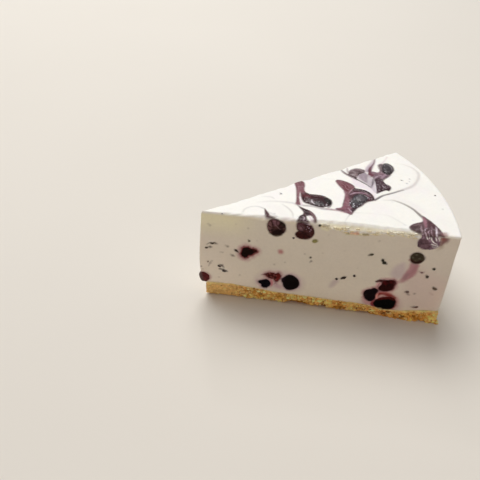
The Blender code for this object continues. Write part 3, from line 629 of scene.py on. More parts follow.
    p.area(((17.9, 13.7), (18.9, 14.8), (20.3, 15.3), (21.4, 15.6), (21.9, 13.4), (20.9, 11.4), (20.3, 9.8),
            (19.7, 8.2), (18.7, 9.5), (17.7, 11.7)), T(162, 147, 156), 0.95, 0.55, rag=0.1, wet=W, lift=0.08)
    p.line(((14.6, 14.6, 0.3, 0.8), (15.6, 13.4, 0.4, 0.9), (16.6, 12.2, 0.35, 0.9)), T(88, 68, 72), 0.35, rag=0.1, wet=W)
    for a in ((16.4, 14.4, 17.4, 17.2), (17.8, 14.6, 18.6, 17.6), (19.2, 15.6, 19.8, 17.8)):
        p.line(((a[0], a[1], 0.12, 0.5), (a[2], a[3], 0.18, 0.5)), T(98, 76, 80), 0.3)
    p.line(((19.9, 14.0, 0.2, 0.5), (19.6, 11.6, 0.25, 0.6), (19.7, 9.4, 0.2, 0.5)), T(184, 172, 184), 0.3)
    p.line(((16.2, 11.9, 0.3, 0.95), (17.5, 9.8, 0.26, 1.0), (19.0, 7.2, 0.22, 1.0), (20.0, 5.0, 0.16, 0.85)),
           T(66, 52, 57), 0.2, rag=0.06, wet=W, lift=0.10)
    p.line(((22.8, 10.2, 0.3, 0.85), (21.9, 7.9, 0.42, 0.95), (20.8, 5.9, 0.3, 0.9), (20.2, 4.6, 0.15, 0.6)),
           T(124, 114, 119), 0.28, wet=W)
    p.area(((28.3, 20.0), (29.6, 20.9), (30.6, 20.2), (30.2, 17.8), (29.4, 15.2), (28.2, 14.2), (27.6, 15.6),
            (27.9, 17.8)), T(116, 98, 102), 0.95, 0.45, rag=0.25, wet=W)
    p.area(((31.1, 20.8), (32.6, 20.8), (33.6, 19.4), (33.9, 17.4), (33.4, 15.2), (31.9, 13.3), (30.1, 12.1),
            (28.8, 12.8), (28.3, 14.8), (28.9, 16.8), (29.8, 19.0)), T(76, 69, 72), 1.0, 0.3, wet=W)
    # painted highlights: a lighter right edge and small glints on the round berry
    p.line(((32.2, 20.0, 0.2, 0.5), (33.0, 18.8, 0.25, 0.8), (33.0, 16.8, 0.25, 0.7), (32.4, 15.2, 0.2, 0.4)),
           T(134, 124, 130), 0.25)
    p.spots(((29.6, 15.2, 0.2), (30.0, 17.0, 0.15), (29.4, 13.8, 0.18), (31.0, 19.4, 0.15)), T(176, 164, 172), 0.2)
    p.area(((23.1, 9.7), (24.2, 10.6), (26.3, 10.2), (26.3, 8.1), (26.6, 6.3), (27.6, 4.9), (27.5, 3.3), (26.1, 1.5),
            (24.9, 2.0), (23.1, 1.4), (20.8, 0.7), (21.4, 3.1), (22.0, 5.3), (22.6, 7.8)), T(80, 60, 66), 1.0, 0.28,
           rag=0.12, wet=W)
    p.area(((24.4, 9.4), (25.6, 9.2), (25.8, 7.0), (26.8, 4.8), (26.2, 3.2), (25.2, 4.0), (24.8, 6.4)), T(98, 76, 82), 0.7, 0.5)
    # painted highlights: glints on the dark berry
    p.line(((24.9, 5.8, 0.12, 0.7), (24.9, 4.8, 0.22, 0.95), (25.1, 3.8, 0.14, 0.8)), T(172, 156, 164), 0.2)
    p.spots(((22.8, 2.6, 0.18), (24.0, 3.0, 0.16), (23.4, 6.6, 0.12), (24.3, 8.4, 0.14), (26.4, 4.2, 0.12),
             (25.8, 6.2, 0.12), (23.8, 1.9, 0.2, 0.8), (22.4, 4.4, 0.12)), T(178, 164, 172), 0.15)
    p.line(((23.0, 8.8, 0.12, 0.6), (22.4, 6.2, 0.16, 0.8), (21.5, 3.2, 0.14, 0.8), (20.9, 1.4, 0.1, 0.6)),
           T(236, 228, 234), 0.16, wet=0.4)
    # ---- patch over the front edge near the rim
    p.area(((32.0, -15.4), (32.8, -17.0), (33.7, -19.3), (34.3, -21.9), (34.7, -24.3), (34.6, -26.8), (34.0, -28.8),
            (30.5, -30.0), (27.0, -29.0), (26.3, -26.6), (26.2, -25.0), (25.4, -23.6), (24.6, -22.3), (24.5, -21.0),
            (25.6, -20.0), (27.2, -19.3), (28.8, -18.9), (30.2, -18.7), (31.0, -17.9), (31.4, -16.6)),
           T(100, 76, 79), 1.0, 0.3, rag=0.10, wet=W, lift=0.14)
    p.line(((31.7, -16.6, 0.5, 0.6), (31.5, -18.4, 0.6, 0.9), (30.9, -20.2, 0.55, 0.9), (30.2, -22.0, 0.4, 0.7)),
           T(166, 120, 131), 0.35)
    p.area(((32.4, -19.0), (33.4, -20.6), (34.0, -23.2), (33.6, -24.2), (32.6, -23.4), (31.6, -23.6), (31.4, -21.6)),
           T(96, 66, 70), 0.9, 0.4)
    p.area(((25.0, -21.4), (26.6, -20.8), (28.4, -21.0), (28.2, -22.8), (27.0, -25.0), (26.6, -24.6), (25.9, -23.2)),
           T(82, 64, 64), 0.85, 0.4)
    p.line(((33.8, -22.4, 0.12, 0.6), (33.3, -23.8, 0.26, 0.95), (32.6, -25.6, 0.3, 1.0), (31.8, -27.6, 0.28, 0.9),
            (31.4, -29.2, 0.2, 0.8)), T(222, 208, 217), 0.2, lift=0.25)
    p.line(((29.0, -21.0, 0.1, 0.6), (28.3, -22.6, 0.16, 0.9), (28.0, -24.4, 0.16, 0.9), (27.4, -26.2, 0.14, 0.8)),
           T(190, 166, 176), 0.18, lift=0.2)
    p.line(((30.6, -22.6, 0.1, 0.7), (29.6, -23.0, 0.16, 0.9), (28.9, -24.4, 0.16, 0.9), (28.6, -26.2, 0.16, 0.9),
            (28.0, -27.6, 0.12, 0.7)), T(198, 176, 186), 0.18, lift=0.2)
    p.line(((30.9, -23.8, 0.1, 0.7), (30.1, -24.4, 0.14, 0.9), (29.9, -25.6, 0.14, 0.9), (29.4, -27.0, 0.12, 0.8)),
           T(188, 162, 174), 0.18, lift=0.2)
    p.line(((32.4, -21.6, 0.10, 0.5), (32.0, -23.0, 0.14, 0.7), (31.0, -25.0, 0.14, 0.8), (30.6, -27.0, 0.12, 0.8),
            (30.2, -28.6, 0.1, 0.8)), T(176, 150, 160), 0.18, lift=0.2)
    p.line(((26.2, -20.6, 0.1, 0.5), (27.6, -20.2, 0.14, 0.6), (29.2, -20.2, 0.12, 0.5)), T(150, 132, 132), 0.2)
    p.area(((24.2, -24.2), (25.2, -23.8), (26.2, -25.4), (26.4, -27.6), (25.0, -28.0), (24.0, -26.0)), T(246, 234, 232), 0.9, 0.4)
    p.spots(((34.9, -27.0, 0.9, 0.75), (35.6, -26.4, 0.7, 0.5)), T(150, 100, 98), 0.9, rag=0.4)
    # ---- flecks
    for rows, colour in (
        (((-14.9, 6.5, 0.22), (-14.5, 5.9, 0.28), (-15.2, 5.6, 0.15)), T(104, 100, 98)),
        (((33.4, 8.1, 0.25), (33.9, 7.7, 0.25)), T(176, 174, 170)),
        (((34.8, 5.6, 0.35),), T(200, 198, 194)),
        (((37.0, 8.4, 0.3), (36.2, 6.6, 0.2)), T(190, 188, 184)),
        (((42.0, -3.8, 0.34),), T(150, 150, 148)),
        (((41.0, -12.5, 0.4, 0.7),), T(196, 196, 190)),
        (((24.6, -5.3, 0.3, 0.3), (27.6, -17.3, 0.35, 0.3)), T(206, 200, 200)),
    ):
        p.spots(rows, colour, 0.3, rag=0.15, lift=-0.05)


# ---------------------------------------------------------------- marks on the front cut
def draw_front(p):
    """p: a sheet with places (s, z)."""

    def shape(k):
        return FRONT_SHAPES["berry_front_%02d" % k][0]

    # washes
    p.area(((62.0, 9.5), (61.0, 5.5), (66.0, 3.0), (74.0, 3.2), (76.5, 7.0), (73.0, 12.5), (66.0, 14.5)),
           F(158, 124, 118), 0.5, 1.6)
    p.area(((88.0, 6.0), (80.0, 6.0), (75.0, 12.0), (76.0, 26.0), (84.0, 24.0), (90.0, 20.0)), F(166, 140, 127), 0.55, 4.0)
    p.area(((73.5, 27.5), (70.6, 25.5), (69.6, 21.6), (71.8, 19.4), (74.6, 21.6)), F(154, 133, 129), 0.7, 1.3)
    p.area(((88.6, 8.0), (86.0, 7.4), (86.4, 15.0), (89.0, 18.0)), F(176, 150, 132), 0.35, 2.0)
    p.area(((20.0, 9.0), (24.0, 6.8), (32.0, 6.6), (38.0, 8.0), (38.5, 14.0), (33.0, 17.0), (25.0, 17.2), (20.5, 13.0)),
           F(160, 138, 130), 0.5, 1.5)
    # pink spots
    p.spots(((29.1, 26.2, 1.0, 1.0),), F(142, 94, 87), 0.75, rag=0.35)
    p.area(((48.4, 11.6), (50.0, 12.0), (51.6, 15.0), (50.6, 16.0), (49.0, 14.6)), F(154, 134, 126), 0.7, 0.9)
    # smear below the olive berry
    p.line(((76.9, 28.4, 1.5, 0.9), (77.0, 26.2, 1.6, 0.95), (76.8, 24.2, 1.7, 0.95), (75.9, 22.2, 1.7, 0.95),
            (75.1, 20.6, 1.3, 0.9), (74.1, 19.0, 0.9, 0.8), (72.8, 18.2, 0.4, 0.5)), F(140, 97, 96), 0.7, rag=0.35)
    p.line(((77.7, 27.4, 0.7, 0.7), (77.4, 25.0, 0.7, 0.7), (76.2, 22.6, 0.6, 0.5)), F(131, 88, 88), 0.6)
    p.line(((75.4, 22.4, 0.6, 0.6), (74.8, 20.4, 0.6, 0.6)), F(122, 90, 90), 0.5)
    # haloes, then rings of red juice
    for k, grow, soft, colour, strength in (
        (1, 0.1, 0.5, (128, 108, 94), 0.6), (2, 0.1, 0.5, (134, 108, 100), 0.6),
        (3, 1.3, 1.1, (148, 112, 106), 0.85), (4, 0.7, 0.8, (146, 114, 114), 0.75),
        (5, 0.8, 0.8, (142, 100, 98), 0.85), (6, 0.6, 0.7, (146, 116, 118), 0.75),
        (9, 0.2, 0.45, (128, 108, 98), 0.7), (10, 1.0, 0.9, (146, 102, 100), 0.85),
        (11, 0.8, 0.8, (146, 98, 96), 0.8), (12, 0.9, 0.9, (144, 90, 86), 0.8),
    ):
        p.area(shape(k), F(*colour), strength, soft, grow, rag=0.55, size=1.2)
    p.area(((61.4, 7.4), (62.6, 5.4), (65.4, 4.4), (66.0, 6.0), (63.6, 7.0)), F(152, 108, 106), 0.8, 0.7, rag=0.3)
    for k, grow, soft, colour, strength in (
        (3, 0.35, 0.45, (92, 24, 26), 0.95), (5, 0.05, 0.4, (86, 30, 30), 0.9), (10, 0.2, 0.4, (84, 26, 26), 0.9),
        (12, 0.15, 0.35, (88, 24, 24), 0.9), (11, 0.05, 0.3, (60, 20, 24), 0.8), (4, 0.0, 0.3, (52, 26, 34), 0.8),
        (6, 0.0, 0.3, (44, 22, 28), 0.7),
    ):
        p.area(shape(k), F(*colour), strength, soft, grow + 0.1, rag=0.5, size=0.9, wet=0.5)
    # juice pressed out above the cut berry
    p.line(((66.3, 9.4, 0.55, 0.9), (66.7, 10.9, 0.75, 1.0), (68.2, 11.7, 0.8, 1.0), (69.9, 11.5, 0.85, 1.0),
            (71.6, 11.1, 0.75, 1.0), (73.1, 10.2, 0.5, 0.9)), F(108, 34, 29), 0.45, rag=0.15, wet=0.6)
    p.line(((67.6, 12.2, 0.3, 0.6), (69.6, 12.4, 0.35, 0.7), (71.6, 12.0, 0.3, 0.6)), F(152, 78, 70), 0.4)
    p.line(((66.7, 8.8, 0.35, 0.95), (66.4, 10.0, 0.35, 0.9), (66.6, 11.2, 0.3, 0.6)), F(196, 126, 114), 0.3)
    p.line(((65.4, 7.4, 0.35, 0.9), (65.2, 5.6, 0.5, 1.0), (66.4, 3.9, 0.4, 0.9)), F(104, 28, 32), 0.35, wet=0.5)
    # pink between the two small berries low down
    p.line(((26.5, 8.8, 0.35, 0.8), (26.6, 10.2, 0.5, 1.0), (26.3, 11.6, 0.4, 0.9)), F(158, 92, 94), 0.3)
    p.spots(((28.4, 9.2, 1.1, 0.7), (29.6, 8.6, 0.9, 0.7)), F(156, 124, 124), 0.8)
    p.line(((27.4, 9.6, 0.12, 0.7), (28.0, 10.4, 0.2, 0.8), (28.6, 9.8, 0.15, 0.6)), F(96, 48, 56), 0.25)

    # ---- cores
    p.area(shape(3), F(14, 3, 1), 1.0, 0.3, -0.15, rag=0.25, size=0.9, wet=0.7)
    p.spots(((19.4, 25.2, 0.5, 0.6), (17.6, 26.0, 0.5, 0.6), (17.6, 22.9, 0.5, 0.4)), F(48, 10, 8), 0.4)
    p.area(shape(4), F(5, 3, 7), 1.0, 0.25, -0.05, rag=0.25, size=0.9, wet=0.7)
    p.area(shape(5), F(60, 18, 16), 1.0, 0.3, 0.0, rag=0.35, size=0.9, wet=0.7)
    p.area(shape(6), F(7, 3, 3), 1.0, 0.22, 0.0, rag=0.12, size=1.2, wet=0.8)
    p.spots(((30.7, 12.9, 0.8, 0.8),), F(26, 9, 19), 0.5)
    p.area(shape(10), F(30, 4, 3), 1.0, 0.25, 0.0, rag=0.15, wet=0.8)
    p.area(shape(11), F(10, 3, 5), 1.0, 0.25, 0.0, rag=0.12, wet=0.8)
    p.area(shape(12), F(2, 1, 1), 1.0, 0.3, 0.0, rag=0.12, wet=0.8)
    p.line(((66.9, 8.2, 0.3, 0.6), (69.2, 9.5, 0.5, 0.9), (71.2, 9.9, 0.5, 0.9), (72.9, 9.2, 0.3, 0.7)), F(66, 12, 9), 0.5, rag=0.25)
    # parts of the cut berry with its hook
    p.line(((67.8, 17.9, 0.75, 1.0), (66.4, 17.8, 0.7, 1.0), (65.3, 17.3, 0.5, 1.0)), F(52, 12, 12), 0.28, rag=0.15, wet=0.7)
    p.area(((65.6, 16.9), (66.9, 17.0), (67.1, 16.2), (66.4, 15.2), (65.8, 14.9), (65.3, 16.0)), F(170, 126, 120), 0.9, 0.35)
    p.line(((66.6, 16.8, 0.15, 0.7), (66.2, 15.6, 0.2, 0.8), (65.9, 14.6, 0.2, 0.8)), F(112, 66, 62), 0.25)
    p.spots(((68.6, 17.2, 0.8, 0.7), (70.4, 18.0, 0.6, 0.5)), F(62, 6, 8), 0.6)
    p.line(((71.4, 18.4, 0.12, 0.6), (71.8, 17.6, 0.16, 0.7), (71.6, 16.6, 0.12, 0.5)), F(74, 30, 30), 0.2)
    # the mashed one
    p.spots(((24.6, 14.0, 0.3), (25.6, 14.9, 0.35), (27.2, 14.5, 0.3), (26.2, 13.3, 0.3), (28.2, 14.2, 0.25),
             (27.0, 12.9, 0.25), (28.2, 12.2, 0.3)), F(112, 60, 56), 0.25, 0.8, rag=0.2)
    p.spots(((25.2, 13.9, 0.5), (26.6, 14.2, 0.45), (24.2, 14.4, 0.35), (27.8, 13.4, 0.5), (28.6, 15.0, 0.4)),
            F(36, 8, 6), 0.3, 0.9, rag=0.2)
    p.area(((28.4, 15.4), (29.6, 15.0), (29.9, 13.6), (29.2, 12.2), (28.6, 11.2), (28.2, 12.6)), F(82, 18, 16), 0.75, 0.35)
    p.line(((23.8, 14.3, 0.3, 0.9), (22.9, 14.0, 0.2, 0.8), (22.3, 13.6, 0.12, 0.5)), F(84, 44, 42), 0.25)
    # ---- first berry under the edge
    p.area(shape(1), F(46, 24, 21), 1.0, 0.3, 0.0, rag=0.12, wet=0.7)
    p.area(((24.1, 39.6), (25.4, 39.4), (25.4, 36.4), (24.9, 34.8), (24.0, 36.2), (23.8, 38.2)), F(90, 60, 57), 0.9, 0.5)
    p.area(((25.6, 41.4), (27.2, 40.8), (28.0, 39.4), (26.8, 38.0), (25.8, 38.8)), F(100, 66, 68), 0.95, 0.45)
    p.area(((25.8, 37.6), (27.6, 38.2), (29.0, 37.2), (28.4, 35.6), (26.6, 35.8)), F(54, 32, 28), 0.8, 0.6)
    p.area(((26.2, 36.0), (28.0, 37.0), (29.4, 36.2), (29.2, 34.6), (27.6, 33.9), (26.0, 34.3), (25.4, 35.2)), F(20, 5, 4), 0.95, 0.5)
    p.spots(((25.3, 36.2, 0.3), (26.2, 37.4, 0.2, 0.6), (25.6, 38.6, 0.3, 0.8), (24.6, 37.4, 0.2, 0.6)), F(34, 14, 14), 0.3)
    p.line(((24.7, 34.4, 0.35, 0.7), (26.9, 33.5, 0.4, 0.9), (29.0, 34.2, 0.35, 0.7)), F(54, 42, 29), 0.35)
    p.spots(((29.6, 38.7, 0.5, 0.95), (28.6, 39.8, 0.4, 0.95), (30.0, 37.7, 0.25, 0.5), (28.9, 38.9, 0.3, 0.6)),
            F(30, 25, 16), 0.3, rag=0.2)
    p.spots(((30.0, 37.3, 0.5, 0.7),), F(84, 62, 52), 0.4)
    p.line(((26.6, 38.6, 0.12, 0.6), (27.6, 37.6, 0.15, 0.7), (28.4, 36.8, 0.1, 0.5)), F(104, 78, 76), 0.2)
    for k in range(9):
        a = 0.7 * k
        p.line(((27.1 + 1.0 * math.cos(a), 37.2 + 1.1 * math.sin(a), 0.10, 0.5),
                (27.1 + 2.0 * math.cos(a + 0.25), 37.2 + 2.2 * math.sin(a + 0.25), 0.18, 0.8),
                (27.1 + 3.0 * math.cos(a + 0.15), 37.2 + 3.3 * math.sin(a + 0.15), 0.22, 0.9)), F(24, 10, 8), 0.22, rag=0.2)
    # ---- second berry under the edge
    p.area(shape(2), F(50, 22, 19), 1.0, 0.28, 0.0, rag=0.12, wet=0.8)
    p.area(((34.4, 40.0), (36.4, 39.8), (37.0, 38.2), (36.0, 37.0), (35.0, 37.2), (34.4, 38.4)), F(82, 55, 56), 0.95, 0.45)
    p.spots(((35.6, 38.4, 0.4, 0.6), (37.0, 38.8, 0.3, 0.5)), F(104, 78, 80), 0.4)
    p.area(((36.8, 39.8), (38.8, 39.6), (40.0, 38.2), (39.4, 36.6), (37.6, 37.2)), F(64, 34, 34), 0.8, 0.4)
    p.area(((34.1, 35.6), (36.0, 36.3), (38.0, 35.4), (38.4, 34.2), (36.8, 33.5), (35.0, 33.8)), F(42, 12, 9), 0.9, 0.35)
    for k in range(8):
        a = 0.75 * k + 0.3
        p.line(((37.4 + 0.9 * math.cos(a), 37.2 + 1.0 * math.sin(a), 0.10, 0.5),
                (37.4 + 1.8 * math.cos(a - 0.3), 37.2 + 2.0 * math.sin(a - 0.3), 0.16, 0.8),
                (37.4 + 2.8 * math.cos(a - 0.2), 37.2 + 3.2 * math.sin(a - 0.2), 0.20, 0.9)), F(22, 6, 6), 0.2, rag=0.2)
    p.line(((34.8, 36.9, 0.14, 0.9), (36.2, 36.9, 0.16, 0.9), (37.4, 36.4, 0.16, 0.9), (38.0, 35.4, 0.12, 0.7)), F(20, 4, 5), 0.2)
    # painted highlights: glints on the berry
    p.spots(((38.5, 38.8, 0.22), (39.2, 38.1, 0.2), (37.9, 39.3, 0.2), (38.9, 37.4, 0.14), (37.6, 38.2, 0.12), (39.6, 38.9, 0.1)),
            F(134, 110, 116), 0.18)
    p.line(((37.6, 37.6, 0.1, 0.6), (38.8, 36.6, 0.14, 0.6), (39.4, 35.4, 0.12, 0.5)), F(78, 48, 46), 0.2)
    p.area(((34.5, 41.4), (36.2, 41.2), (36.6, 40.0), (35.4, 39.6), (34.5, 40.2)), F(66, 34, 38), 0.8, 0.3)
    p.line(((36.7, 40.5, 0.14, 0.7), (37.8, 40.4, 0.18, 0.8), (38.8, 39.9, 0.12, 0.6)), F(190, 165, 166), 0.2)
    # ---- mass over the edge near the rim
    p.area(((75.0, 42.0), (76.2, 41.0), (76.9, 40.4), (77.0, 39.8), (76.2, 38.8), (76.0, 37.4), (76.4, 36.2),
            (77.3, 35.2), (78.6, 34.7), (80.2, 34.9), (81.6, 35.2), (82.8, 35.9), (83.5, 36.8), (83.5, 38.4),
            (83.2, 40.0), (82.9, 42.0), (81.0, 44.0), (77.0, 44.0)), F(108, 84, 90), 1.0, 0.28, rag=0.1, wet=0.9)
    p.area(((76.2, 37.6), (76.5, 38.8), (77.5, 39.6), (78.8, 39.5), (79.7, 38.4), (80.2, 37.0), (80.5, 35.5),
            (79.7, 34.9), (78.6, 34.7), (77.2, 35.3), (76.4, 36.3)), F(84, 61, 64), 1.0, 0.25)
    p.spots(((80.2, 36.8, 0.5, 0.8), (81.2, 36.0, 0.5, 0.7), (79.9, 38.2, 0.4, 0.7)), F(72, 44, 50), 0.35)
    p.line(((80.4, 41.8, 0.25, 0.7), (80.9, 40.0, 0.28, 0.8), (81.8, 38.6, 0.25, 0.7)), F(72, 48, 55), 0.3)
    p.line(((77.2, 41.8, 0.3, 0.7), (78.0, 40.4, 0.3, 0.7)), F(72, 48, 55), 0.3)
    for rows in (
        ((82.0, 42.0, 0.28), (82.6, 40.6, 0.28), (83.0, 39.2, 0.2)),
        ((77.5, 42.0, 0.14), (78.2, 40.9, 0.18), (78.9, 39.8, 0.16)),
        ((78.5, 42.0, 0.12), (79.2, 41.2, 0.14), (79.4, 40.2, 0.12)),
        ((79.6, 42.0, 0.12), (79.9, 40.6, 0.16), (80.4, 39.4, 0.16), (81.3, 38.5, 0.16), (82.4, 37.9, 0.12)),
        ((80.9, 41.4, 0.10), (81.6, 40.2, 0.14), (82.0, 39.2, 0.12)),
        ((80.5, 37.8, 0.12), (81.6, 37.4, 0.16), (82.9, 37.0, 0.12)),
        ((81.2, 36.6, 0.10), (82.2, 36.3, 0.14), (83.0, 36.4, 0.10)),
    ):
        p.line(rows, F(206, 186, 194), 0.18, 0.95, rag=0.06, lift=0.18)
    p.area(((74.2, 42.4), (75.4, 40.7), (76.7, 40.0), (76.4, 39.1), (75.2, 39.5), (74.0, 40.6)), F(224, 206, 198), 0.9, 0.3)
    p.area(((83.3, 41.8), (84.8, 41.2), (85.9, 40.4), (85.8, 38.9), (84.8, 37.6), (83.7, 37.0)), F(94, 54, 52), 0.9, 0.9, rag=0.5)
    p.spots(((84.0, 39.8, 0.7, 0.7),), F(108, 48, 40), 0.6)
    p.spots(((84.2, 36.4, 0.8, 0.55), (83.4, 35.4, 0.6, 0.35)), F(132, 112, 92), 0.7)
    # ---- olive berry
    p.area(shape(9), F(48, 39, 27), 1.0, 0.35, 0.0, rag=0.15, wet=0.5)
    p.spots(((77.1, 30.6, 0.9, 0.6), (78.4, 31.6, 0.5, 0.4), (76.0, 31.6, 0.5, 0.4)), F(40, 32, 22), 0.5, rag=0.3)
    p.spots(((76.8, 32.1, 0.4, 0.5), (78.2, 30.6, 0.4, 0.5), (75.8, 30.6, 0.35, 0.5)), F(84, 76, 60), 0.35, rag=0.2)
    p.area(((75.3, 29.6), (76.2, 29.4), (77.2, 28.9), (78.2, 29.5), (79.4, 29.4), (78.8, 28.4), (77.2, 28.0), (75.9, 28.4)),
           F(34, 13, 9), 0.95, 0.35, rag=0.2)
    p.spots(((74.9, 29.3, 0.4, 0.7),), F(118, 62, 60), 0.35)
    seam = np.linspace(1.0, 89.0, 45)
    p.line([(s, float(seam_height("front", s)) + 0.15, 0.25, 0.65) for s in seam], F(164, 140, 104), 0.45, rag=0.35)
    # ---- flecks of skin, pits and slits
    mid, pale, light = F(80, 68, 56), F(112, 98, 82), F(196, 184, 164)
    p.spots(((4.2, 26.8, 0.45), (3.0, 26.6, 0.35), (2.6, 24.7, 0.5), (7.0, 16.1, 0.55), (7.6, 14.1, 0.5), (8.6, 13.6, 0.45),
             (6.4, 14.3, 0.35), (12.4, 24.3, 0.5), (13.3, 23.8, 0.35), (11.2, 21.8, 0.5, 0.6), (9.2, 25.8, 0.45, 0.6),
             (40.2, 25.1, 0.4), (40.6, 23.4, 0.35, 0.8), (61.4, 29.7, 0.5), (60.7, 29.3, 0.3), (65.9, 27.7, 0.55), (66.6, 26.7, 0.7),
             (67.2, 26.2, 0.35), (53.4, 17.3, 0.5), (52.6, 16.8, 0.35), (50.7, 16.2, 0.4), (84.0, 26.4, 0.45), (82.4, 22.4, 0.5),
             (81.9, 22.9, 0.3), (86.2, 17.1, 0.65), (85.6, 17.8, 0.35), (76.8, 13.9, 0.5), (77.4, 12.9, 0.35, 0.8),
             (79.6, 13.5, 0.35, 0.6), (80.8, 6.7, 0.5, 0.8), (81.8, 6.9, 0.35), (2.4, 16.6, 0.45, 0.5), (17.3, 29.6, 0.4, 0.8)),
            F(70, 58, 48), 0.38, 0.8, rag=0.3)
    # slits: dark skin in small cuts, painted darker as the shade inside them; the pale strokes above are painted
    # highlights on their upper lips
    p.line(((1.4, 25.7, 0.16, 0.7), (2.4, 26.5, 0.2, 0.95), (3.6, 26.7, 0.18, 0.9), (4.6, 26.7, 0.34, 1.0),
            (5.4, 26.5, 0.2, 0.7)), F(66, 56, 46), 0.28, lift=-0.16)
    p.line(((1.6, 24.6, 0.2, 0.7), (2.6, 24.5, 0.32, 0.95), (3.4, 24.8, 0.16, 0.6)), mid, 0.28, lift=-0.10)
    p.line(((2.2, 27.4, 0.2, 0.6), (4.2, 27.6, 0.2, 0.6)), light, 0.3)
    p.line(((6.0, 16.3, 0.2, 0.8), (6.9, 16.0, 0.32, 1.0), (7.7, 15.2, 0.24, 0.9)), F(60, 48, 46), 0.28, lift=-0.12)
    p.line(((5.8, 14.1, 0.18, 0.9), (7.2, 14.0, 0.28, 1.0), (8.6, 13.4, 0.26, 1.0), (9.3, 13.1, 0.14, 0.7)),
           F(56, 44, 42), 0.26, lift=-0.15)
    p.line(((6.4, 14.9, 0.18, 0.6), (8.6, 14.4, 0.16, 0.6)), light, 0.26)
    p.line(((11.9, 24.9, 0.2, 0.8), (12.6, 24.3, 0.36, 1.0), (13.3, 23.8, 0.2, 0.8)), F(60, 44, 40), 0.3)
    p.line(((10.4, 22.3, 0.2, 0.6), (11.2, 21.7, 0.34, 0.8), (12.0, 21.4, 0.2, 0.6)), F(96, 80, 66), 0.4, lift=-0.06)
    p.line(((8.4, 26.3, 0.2, 0.5), (9.4, 25.8, 0.32, 0.7)), F(100, 86, 70), 0.4)
    p.line(((6.4, 22.8, 0.16, 0.6), (7.5, 22.7, 0.22, 0.7)), F(128, 114, 96), 0.3)
    p.line(((2.4, 17.0, 0.2, 0.5), (3.2, 17.8, 0.26, 0.7)), F(126, 112, 96), 0.35)
    p.line(((1.8, 15.0, 0.2, 0.7), (2.2, 16.2, 0.2, 0.6)), F(116, 102, 88), 0.3)
    p.line(((17.0, 30.3, 0.16, 0.6), (17.4, 29.5, 0.24, 0.8)), F(96, 88, 66), 0.3)
    p.spots(((16.9, 35.4, 0.4, 0.35), (2.8, 34.9, 0.5, 0.4), (2.2, 35.5, 0.4, 0.3), (63.3, 36.2, 0.35, 0.4),
             (38.0, 26.5, 0.3, 0.6), (31.0, 21.4, 0.28, 0.5), (27.1, 19.7, 0.35, 0.5), (5.8, 9.8, 0.3, 0.45),
             (14.0, 12.3, 0.35, 0.4), (44.4, 27.9, 0.25, 0.3), (20.2, 30.2, 0.25, 0.3), (57.6, 22.6, 0.25, 0.2),
             (45.6, 36.4, 0.3, 0.25), (52.0, 30.0, 0.25, 0.2), (12.4, 36.6, 0.3, 0.2)), pale, 0.35)
    p.spots(((33.4, 33.3, 0.34, 1.0),), F(44, 32, 28), 0.26)
    p.area(((40.2, 33.4), (41.0, 33.9), (42.0, 33.7), (42.2, 32.8), (41.4, 32.2), (40.4, 32.3)), F(112, 102, 62), 0.95, 0.32, rag=0.15)
    p.spots(((42.2, 40.3, 0.5, 1.0), (7.6, 40.4, 0.36, 0.95)), F(46, 42, 34), 0.3, rag=0.15)
    p.spots(((40.2, 25.2, 0.32, 1.0), (40.5, 23.6, 0.25, 0.8), (40.2, 22.9, 0.25, 0.6)), F(72, 66, 52), 0.3)
    p.line(((60.8, 29.2, 0.2, 0.7), (61.6, 29.7, 0.34, 0.95), (62.2, 29.9, 0.16, 0.6)), F(76, 70, 54), 0.3)
    p.spots(((65.9, 27.6, 0.42, 1.0), (66.5, 26.6, 0.55, 1.0), (65.6, 28.3, 0.2, 0.6), (67.3, 26.3, 0.25, 0.7)),
            F(46, 46, 34), 0.3, rag=0.15, lift=-0.1)
    p.line(((52.3, 16.6, 0.28, 0.9), (53.2, 17.1, 0.46, 1.0), (54.0, 17.7, 0.22, 0.8)), F(52, 42, 38), 0.3, rag=0.1)
    p.spots(((50.7, 16.1, 0.42, 1.0), (51.4, 16.4, 0.2, 0.7), (56.9, 18.8, 0.4, 1.0), (57.3, 18.4, 0.25, 0.7)),
            F(58, 48, 44), 0.3, rag=0.1)
    p.spots(((84.0, 26.3, 0.44, 1.0), (83.5, 26.6, 0.25, 0.7)), F(60, 54, 42), 0.3, rag=0.1)
    p.spots(((82.4, 22.4, 0.42, 1.0), (82.0, 22.8, 0.25, 0.6)), F(70, 58, 48), 0.3, rag=0.1)
    p.line(((79.3, 24.5, 0.3, 0.6), (80.3, 24.0, 0.4, 0.8), (80.9, 24.4, 0.25, 0.6)), F(122, 96, 88), 0.4, rag=0.15)
    p.line(((85.4, 17.8, 0.3, 0.8), (86.2, 17.0, 0.5, 1.0), (86.9, 16.8, 0.25, 0.8)), F(86, 70, 56), 0.3, rag=0.12, lift=-0.1)
    p.line(((84.8, 15.0, 0.3, 0.4), (86.0, 14.2, 0.35, 0.5)), F(146, 116, 104), 0.5)
    p.line(((76.2, 13.8, 0.3, 0.8), (77.0, 14.2, 0.36, 0.9), (77.4, 13.4, 0.25, 0.7)), F(98, 78, 68), 0.32, rag=0.1)
    p.spots(((77.9, 12.6, 0.35, 0.7), (79.8, 13.6, 0.25, 0.7)), F(118, 94, 84), 0.3)
    p.line(((79.6, 6.6, 0.18, 0.6), (80.8, 6.5, 0.26, 0.9), (81.9, 6.9, 0.3, 0.9)), F(98, 66, 56), 0.3, lift=-0.08)
    p.spots(((-1.2, 14.3, 0.3, 0.9), (-0.6, 13.0, 0.2, 0.6)), F(70, 54, 52), 0.3)
